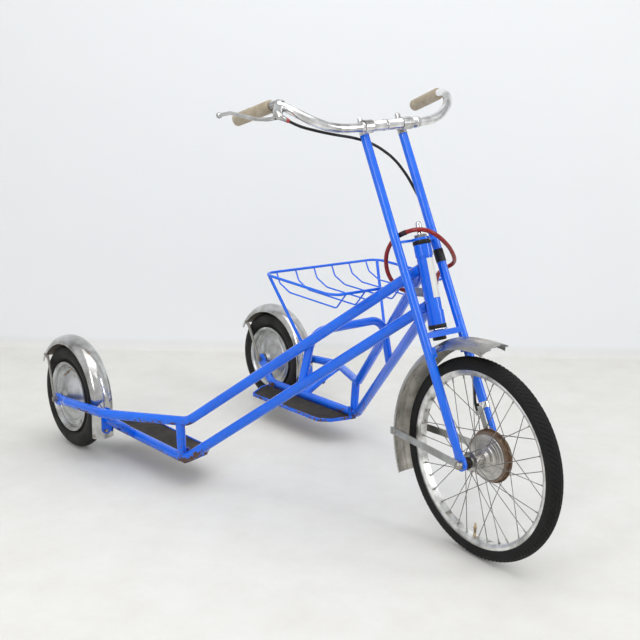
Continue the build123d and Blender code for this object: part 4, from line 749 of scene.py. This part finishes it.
# valves: the front one stands in from the rim, the rear ones lean out past the discs
valve = {"frontAngle": -93.0, "frontSeat": 0.197, "rearAngle": 80.0, "rearSeat": 0.094, "rearSide": 0.014,
         "rearLean": 0.9, "sides": 16,
         "profile": [(0, 0.0042), (0.002, 0.0042), (0.002, 0.003), (0.020, 0.003), (0.020, 0.0042), (0.024, 0.0042),
                     (0.024, 0.0026), (0.034, 0.0024), (0.0345, 0.0001)]}
valveFoot = roundAxle(valve["frontAngle"], 1.0)
addTurned("frontTyreValve", valve["profile"], straightCentre + valveFoot * valve["frontSeat"], -valveFoot,
          valve["sides"], brass, "front_wheel", turnParked)
valveFoot = roundAxle(valve["rearAngle"], 1.0)
for side, outward in (("right", -leftWay), ("left", leftWay)):
    place = rearCentres[side] + valveFoot * valve["rearSeat"] + outward * valve["rearSide"]
    addTurned(f"rearTyreValve_{side}", valve["profile"], place, outward - valveFoot * valve["rearLean"],
              valve["sides"], brass, f"rear_wheel_{side}")
print("small parts made")

# black dust sleeve between the right blade and the hub
dustSleeve = {"start": 0.0364, "sides": 32,
              "profile": [(0, 0.0100), (0, 0.0128), (0.003, 0.0138), (0.009, 0.0132), (0.0192, 0.0112),
                          (0.0194, 0.0100)]}
addTurned("axleDustSleeve", dustSleeve["profile"], straightCentre - leftWay * dustSleeve["start"], -leftWay,
          dustSleeve["sides"], greasyRubber, "steering", turnParked)

# headset: a black seal above and below the head tube, and a bright cup under the lower one; the upper seal is
# taller over the tube's end and laps less of the tube
headset = {"length": 0.1973, "sides": 40, "upperTall": 1.9, "upperLap": 0.2,
           "seal": [(-0.005, 0.0211), (-0.0048, 0.0218), (0.0035, 0.0218), (0.0044, 0.0208), (0.0044, 0.0150)],
           "cup": [(0.0044, 0.0190), (0.0046, 0.0222), (0.0058, 0.0232), (0.0072, 0.0232), (0.0082, 0.0215),
                   (0.0088, 0.0185), (0.0088, 0.0130)]}
upperProfile = [(h * (headset["upperTall"] if h > 0 else headset["upperLap"]), r) for h, r in headset["seal"]]
upperSeal = turned(upperProfile, steerFoot + steerUp * headset["length"], steerUp, headset["sides"])
lowerSeal = turned(headset["seal"], steerFoot, -steerUp, headset["sides"])
seals = addPiece("headsetSeals", *joined([upperSeal, lowerSeal]), [greasyRubber], "frame")
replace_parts(seals, "headset")
addTurned("lowerHeadsetCup", headset["cup"], steerFoot, -steerUp, headset["sides"], chrome, "frame")

# blank label on the head tube's front, a curved patch just off the tube
label = {"foot": 0.068, "top": 0.162, "half": 34.0, "radius": 0.0193, "rows": 12, "columns": 17}
t = np.radians(np.linspace(-label["half"], label["half"], label["columns"]))[None, :, None]
h = np.linspace(label["foot"], label["top"], label["rows"])[:, None, None]
points = steerFoot + steerUp * h + label["radius"] * (steerForward * np.cos(t) + leftWay * np.sin(t))
addPiece("headTubeLabel", points, gridFaces(label["rows"], label["columns"]), [labelFilm], "frame")

# handlebar: a bent tube with a stepped sleeve in its middle; its bends are back, out and up from its middle
bar = {"lean": 2.3, "above": 0.0175, "ahead": 0.019, "radius": 0.011, "straight": 0.112, "knee": (0.0, 0.150, 0.0),
       "shoulder": (0.026, 0.243, 0.036), "crest": (0.096, 0.258, 0.059), "end": (0.219, 0.281, 0.024),
       "kneeRun": 0.030, "kneeEase": 0.018, "gripLead": 0.006, "sweep": 0.075, "hook": 0.040, "sides": 28}
barLean = math.radians(bar["lean"])
barMiddle = straightCentre + bladeUp * (bladeLength + bar["above"]) + bladeForward * bar["ahead"]
barOut = np.array([0.0, math.cos(barLean), math.sin(barLean)])
barRise = np.array([0.0, -math.sin(barLean), math.cos(barLean)])


def onBar(place, sign):  # a place on the bar's left (1) or right (-1) side
    back, out, up = place
    return barMiddle - np.array([back, 0, 0]) + barOut * out * sign + barRise * up


def halfBar(sign):  # from the middle out to the grip's end
    knee, shoulder, crest, end = (onBar(bar[bend], sign) for bend in ("knee", "shoulder", "crest", "end"))
    rising, along = unit(shoulder - knee), unit(end - crest)
    start, middle = onBar((0, bar["straight"], 0), sign), knee + rising * bar["kneeRun"]
    gripSide = crest + along * bar["gripLead"]
    lower = bezier(start, start + barOut * sign * bar["kneeEase"], middle - rising * bar["kneeEase"], middle)
    upper = bezier(middle, middle + rising * bar["sweep"], gripSide - along * bar["hook"], gripSide, 40)
    return np.vstack([barMiddle[None], lower, upper[1:], end[None]])


left, right = halfBar(1), halfBar(-1)
barPath = np.vstack([right[::-1], left[1:]])
points, faces = bentTube(barPath, np.full(len(barPath), bar["radius"]), bar["sides"])
tube = addPiece("bentHandlebar", turnParked(points), faces, [chrome], "steering")
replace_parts(tube, "handlebar")
barSleeve = {"sides": 36,
             "profile": [(-0.0775, 0.0109), (-0.0765, 0.0124), (-0.010, 0.0124), (-0.0095, 0.0136), (-0.003, 0.0136),
                         (-0.0025, 0.0119), (0.002, 0.0119), (0.0025, 0.0128), (0.088, 0.0128), (0.0885, 0.0138),
                         (0.094, 0.0138), (0.0945, 0.0126), (0.1005, 0.0126), (0.101, 0.0109)]}
addTurned("handlebarSleeve", barSleeve["profile"], barMiddle, barOut, barSleeve["sides"], chrome, "steering",
          turnParked)

# brake lever's housing: a body that narrows from a band round the bar, past the pivot, to the cable's nose, and an
# arm from the band to the pivot; the cable's first two places are ahead of the rear axle
housing = {"band": 0.0135, "bandHalf": 0.008, "edge": 0.001, "bore": 0.0112, "bandBack": 0.030, "bandSides": 32,
           "body": (0.0142, 0.0130, 0.0110, 0.0080, 0.0056), "nose": 0.030, "bend": 0.7, "steps": 30, "sides": 24,
           "pivot": (-0.030, 0.022, -0.036), "arm": (0.0075, 0.0072, 0.003), "armEnd": 0.003,
           "gripLength": 0.128, "gripPast": 0.005, "cable": ((0.861, -0.268, 0.998), (0.858, -0.225, 0.980))}


def makeHousing(values):
    # the body is a curve from the band to the nose with the listed radii; the band is a ring about the bar, and the
    # arm a pin from it to the pivot, which is run along the grip, out and up from the grip's start
    crest, end = onBar(bar["crest"], -1), onBar(bar["end"], -1)
    along = unit(end - crest)
    gripStart = end + along * (values["gripPast"] - values["gripLength"])
    levelOut = unit(-leftWay + along * (leftWay @ along))
    levelUp = np.cross(along, levelOut)
    levelUp = levelUp * np.sign(levelUp[2])
    run, out, up = values["pivot"]
    pivot = gripStart + along * run + levelOut * out + levelUp * up
    k = int(np.argmin(np.linalg.norm(right - (gripStart - along * values["bandBack"]), axis=1)))
    band, bandWay, armWay = right[k], unit(right[k + 1] - right[k - 1]), pivot - right[k]
    noseWay = unit(cableNext - cableStart)
    nose = cableStart - noseWay * values["nose"]
    path = bezier(band, band + armWay * values["bend"], nose, cableStart, values["steps"])
    shares = np.linspace(0, 1, len(values["body"]))
    radii = np.interp(np.linspace(0, 1, values["steps"]), shares, values["body"])
    half, edge, wide, bore = values["bandHalf"], values["edge"], values["band"], values["bore"]
    bandProfile = [(-half, bore), (-half, wide - edge), (-half + edge, wide), (half - edge, wide),
                   (half, wide - edge), (half, bore)]
    armLength = np.linalg.norm(armWay)
    armProfile = list(zip((0, armLength, armLength + values["armEnd"]), values["arm"]))
    points, faces = joined([bentTube(path, radii, values["sides"]),
                            turned(bandProfile, band, bandWay, values["bandSides"]),
                            turned(armProfile, band, armWay, values["sides"])])
    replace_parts(addPiece("leverHousing", turnParked(points), faces, [leverAlloy], "steering"), "lever_bracket")


cableStart, cableNext = np.array(housing["cable"]) + [rearAxleX, 0, 0]
makeHousing(housing)

# bright round-headed bolts on the blades' stems and on the steering stem, and a rubber pad under the lower bridge
stemBolt = {"radius": 0.0068, "right": 0.0485, "left": 0.056, "sides": 28}
steeringPin = {"radius": 0.0074, "height": 0.040, "seat": 0.2126, "sides": 28}
rubberPad = {"seat": 0.0232, "sides": 28, "profile": [(0, 0.016), (0.007, 0.0165), (0.009, 0.014), (0.009, 0.001)]}
parts = []
for sign, height in ((-1, stemBolt["right"]), (1, stemBolt["left"])):
    place = straightCentre + bladeUp * bladeLength + leftWay * sign * bladeAcross
    parts.append(turned(pinProfile(stemBolt["radius"], height), place, bladeUp, stemBolt["sides"]))
points, faces = joined(parts)
addPiece("stemBolts", turnParked(points), faces, [chrome], "steering")
addTurned("steeringBolt", pinProfile(steeringPin["radius"], steeringPin["height"]),
          steerFoot + steerUp * steeringPin["seat"], steerUp, steeringPin["sides"], chrome, "steering")
addTurned("bridgeRubberPad", rubberPad["profile"], steerFoot - steerUp * rubberPad["seat"], -steerUp,
          rubberPad["sides"], greasyRubber, "steering", turnParked)

# red ferrule where the brake cable leaves the lever
ferrule = {"sides": 20, "profile": [(-0.004, 0.0042), (-0.004, 0.0056), (0.009, 0.0050), (0.0095, 0.0036)]}
addTurned("cableFerrule", ferrule["profile"], cableStart, cableNext - cableStart, ferrule["sides"], ferrulePlastic,
          "steering", turnParked)
print("fittings made")

# studio: pale floor that curves up into a wall behind the object; the wall is clear to a view from behind it
studio = {"wallDistance": 4.02, "behind": -6.0, "sweep": 0.03, "sweepSteps": 13, "width": 14.0, "height": 7.0,
          "below": 0.0006, "floorColour": 0xE4E3DF, "wallColour": 0xF0F2F4, "blend": (0.0, 0.05),
          "grain": {"scuff": (7.0, 8.0, 0.7)}, "scuff": [(0.35, 0xFFFFFF), (0.75, 0xF6F5F3)],
          "shader": {"Roughness": 0.7, "Specular IOR Level": 0.15}}


def makeStudio(setup):  # a profile of floor, quarter circle and wall, carried straight across the view
    yaw = math.radians(cameraSetup["yaw"])
    ahead = np.array([math.cos(yaw), math.sin(yaw), 0.0])
    across = np.array([-math.sin(yaw), math.cos(yaw), 0.0])
    start = np.array([*cameraSetup["place"][:2], 0.0])
    turn = np.linspace(0, math.pi / 2, setup["sweepSteps"])
    r, wall = setup["sweep"], setup["wallDistance"]
    run = np.concatenate([[setup["behind"]], wall - r + r * np.sin(turn), [wall]])[:, None, None]
    rise = np.concatenate([[0.0], r - r * np.cos(turn), [setup["height"]]])[:, None, None] - setup["below"]
    edges = np.array([-setup["width"], setup["width"]])[None, :, None]
    grid = start + run * ahead + edges * across + rise * [0, 0, 1]
    faces = 2 * np.arange(len(run) - 1)[:, None] + [0, 2, 3, 1]
    material, tree, place, grain = newMaterial("paintedStudioFloor", setup["grain"])
    up = heightAbove(tree, place, *setup["blend"])
    scuffs = addNode(tree, "ValToRGB", {0: grain["scuff"]}, setup["scuff"])
    inputs = {0: 1.0, 6: scuffs, 7: colour(setup["floorColour"])}
    floor = addNode(tree, "Mix", inputs, data_type="RGBA", blend_type="MULTIPLY").outputs[2]
    inputs = {0: up, 6: floor, 7: colour(setup["wallColour"])}
    base = addNode(tree, "Mix", inputs, data_type="RGBA").outputs[2]
    paint = addNode(tree, "BsdfPrincipled", {"Base Color": base, **setup["shader"]})
    behind = addNode(tree, "NewGeometry").outputs["Backfacing"]
    both = addNode(tree, "MixShader", {0: behind, 1: paint, 2: addNode(tree, "BsdfTransparent")})
    addNode(tree, "OutputMaterial", {"Surface": both})
    newObject("studioSweep", smoothMesh("studioSweep", grid, faces, [material]))


# lamps: place, the place that each shines at, width and height in metres, watts
lamps = {
    "topSoftbox": {"place": (0.6, -0.6, 3.2), "target": (0.0, 0.0, 0.2), "size": (3.0, 3.0), "power": 41},
    "leftSoftbox": {"place": (1.2, -3.4, 2.2), "target": (0.0, 0.0, 0.4), "size": (0.5, 2.0), "power": 31},
    "rightSoftbox": {"place": (3.4, 1.6, 2.0), "target": (0.2, 0.0, 0.4), "size": (0.75, 2.2), "power": 33},
}


def makeLight(name, place, target, size, power):  # a rectangle that faces its target
    data = bpy.data.lights.new(name, "AREA")
    data.shape, data.size, data.size_y, data.energy = "RECTANGLE", size[0], size[1], power
    obj = newObject(name, data)
    obj.location = place
    obj.rotation_mode = "QUATERNION"
    obj.rotation_quaternion = (Vector(target) - Vector(place)).to_track_quat("-Z", "Y")


makeStudio(studio)
for name, lamp in lamps.items():
    makeLight(name, **lamp)

# the room's light rises from the horizon upwards; a view or a mirror sees it as an even pale backdrop
room = {"colour": 0xF7F8FA, "horizon": 0.34, "top": 0.80, "topHeight": 0.8, "seen": 0.86}


def makeWorld(setup):
    # strength goes from horizon to top as a ray's height goes from 0 to topHeight, and is seen for a view or a mirror
    world = bpy.data.worlds.new("studioWorld")
    bpy.context.scene.world = world
    world.use_nodes = True
    tree = world.node_tree
    tree.nodes.clear()
    direction = addNode(tree, "TexCoord").outputs["Generated"]
    upward = addNode(tree, "SeparateXYZ", {0: direction}).outputs["Z"]
    inputs = {0: upward, 1: 0.0, 2: setup["topHeight"], 3: setup["horizon"], 4: setup["top"]}
    sky = addNode(tree, "MapRange", inputs)
    rays = addNode(tree, "LightPath").outputs
    seen = rays["Is Camera Ray"]
    for ray in ("Is Glossy Ray", "Is Transmission Ray"):
        seen = addNode(tree, "Math", {0: seen, 1: rays[ray]}, operation="MAXIMUM")
    strength = addNode(tree, "MapRange", {0: seen, 3: sky, 4: setup["seen"]})
    background = addNode(tree, "Background", {"Color": colour(setup["colour"]), "Strength": strength})
    addNode(tree, "OutputWorld", {"Surface": background})


makeWorld(room)
print("studio made")
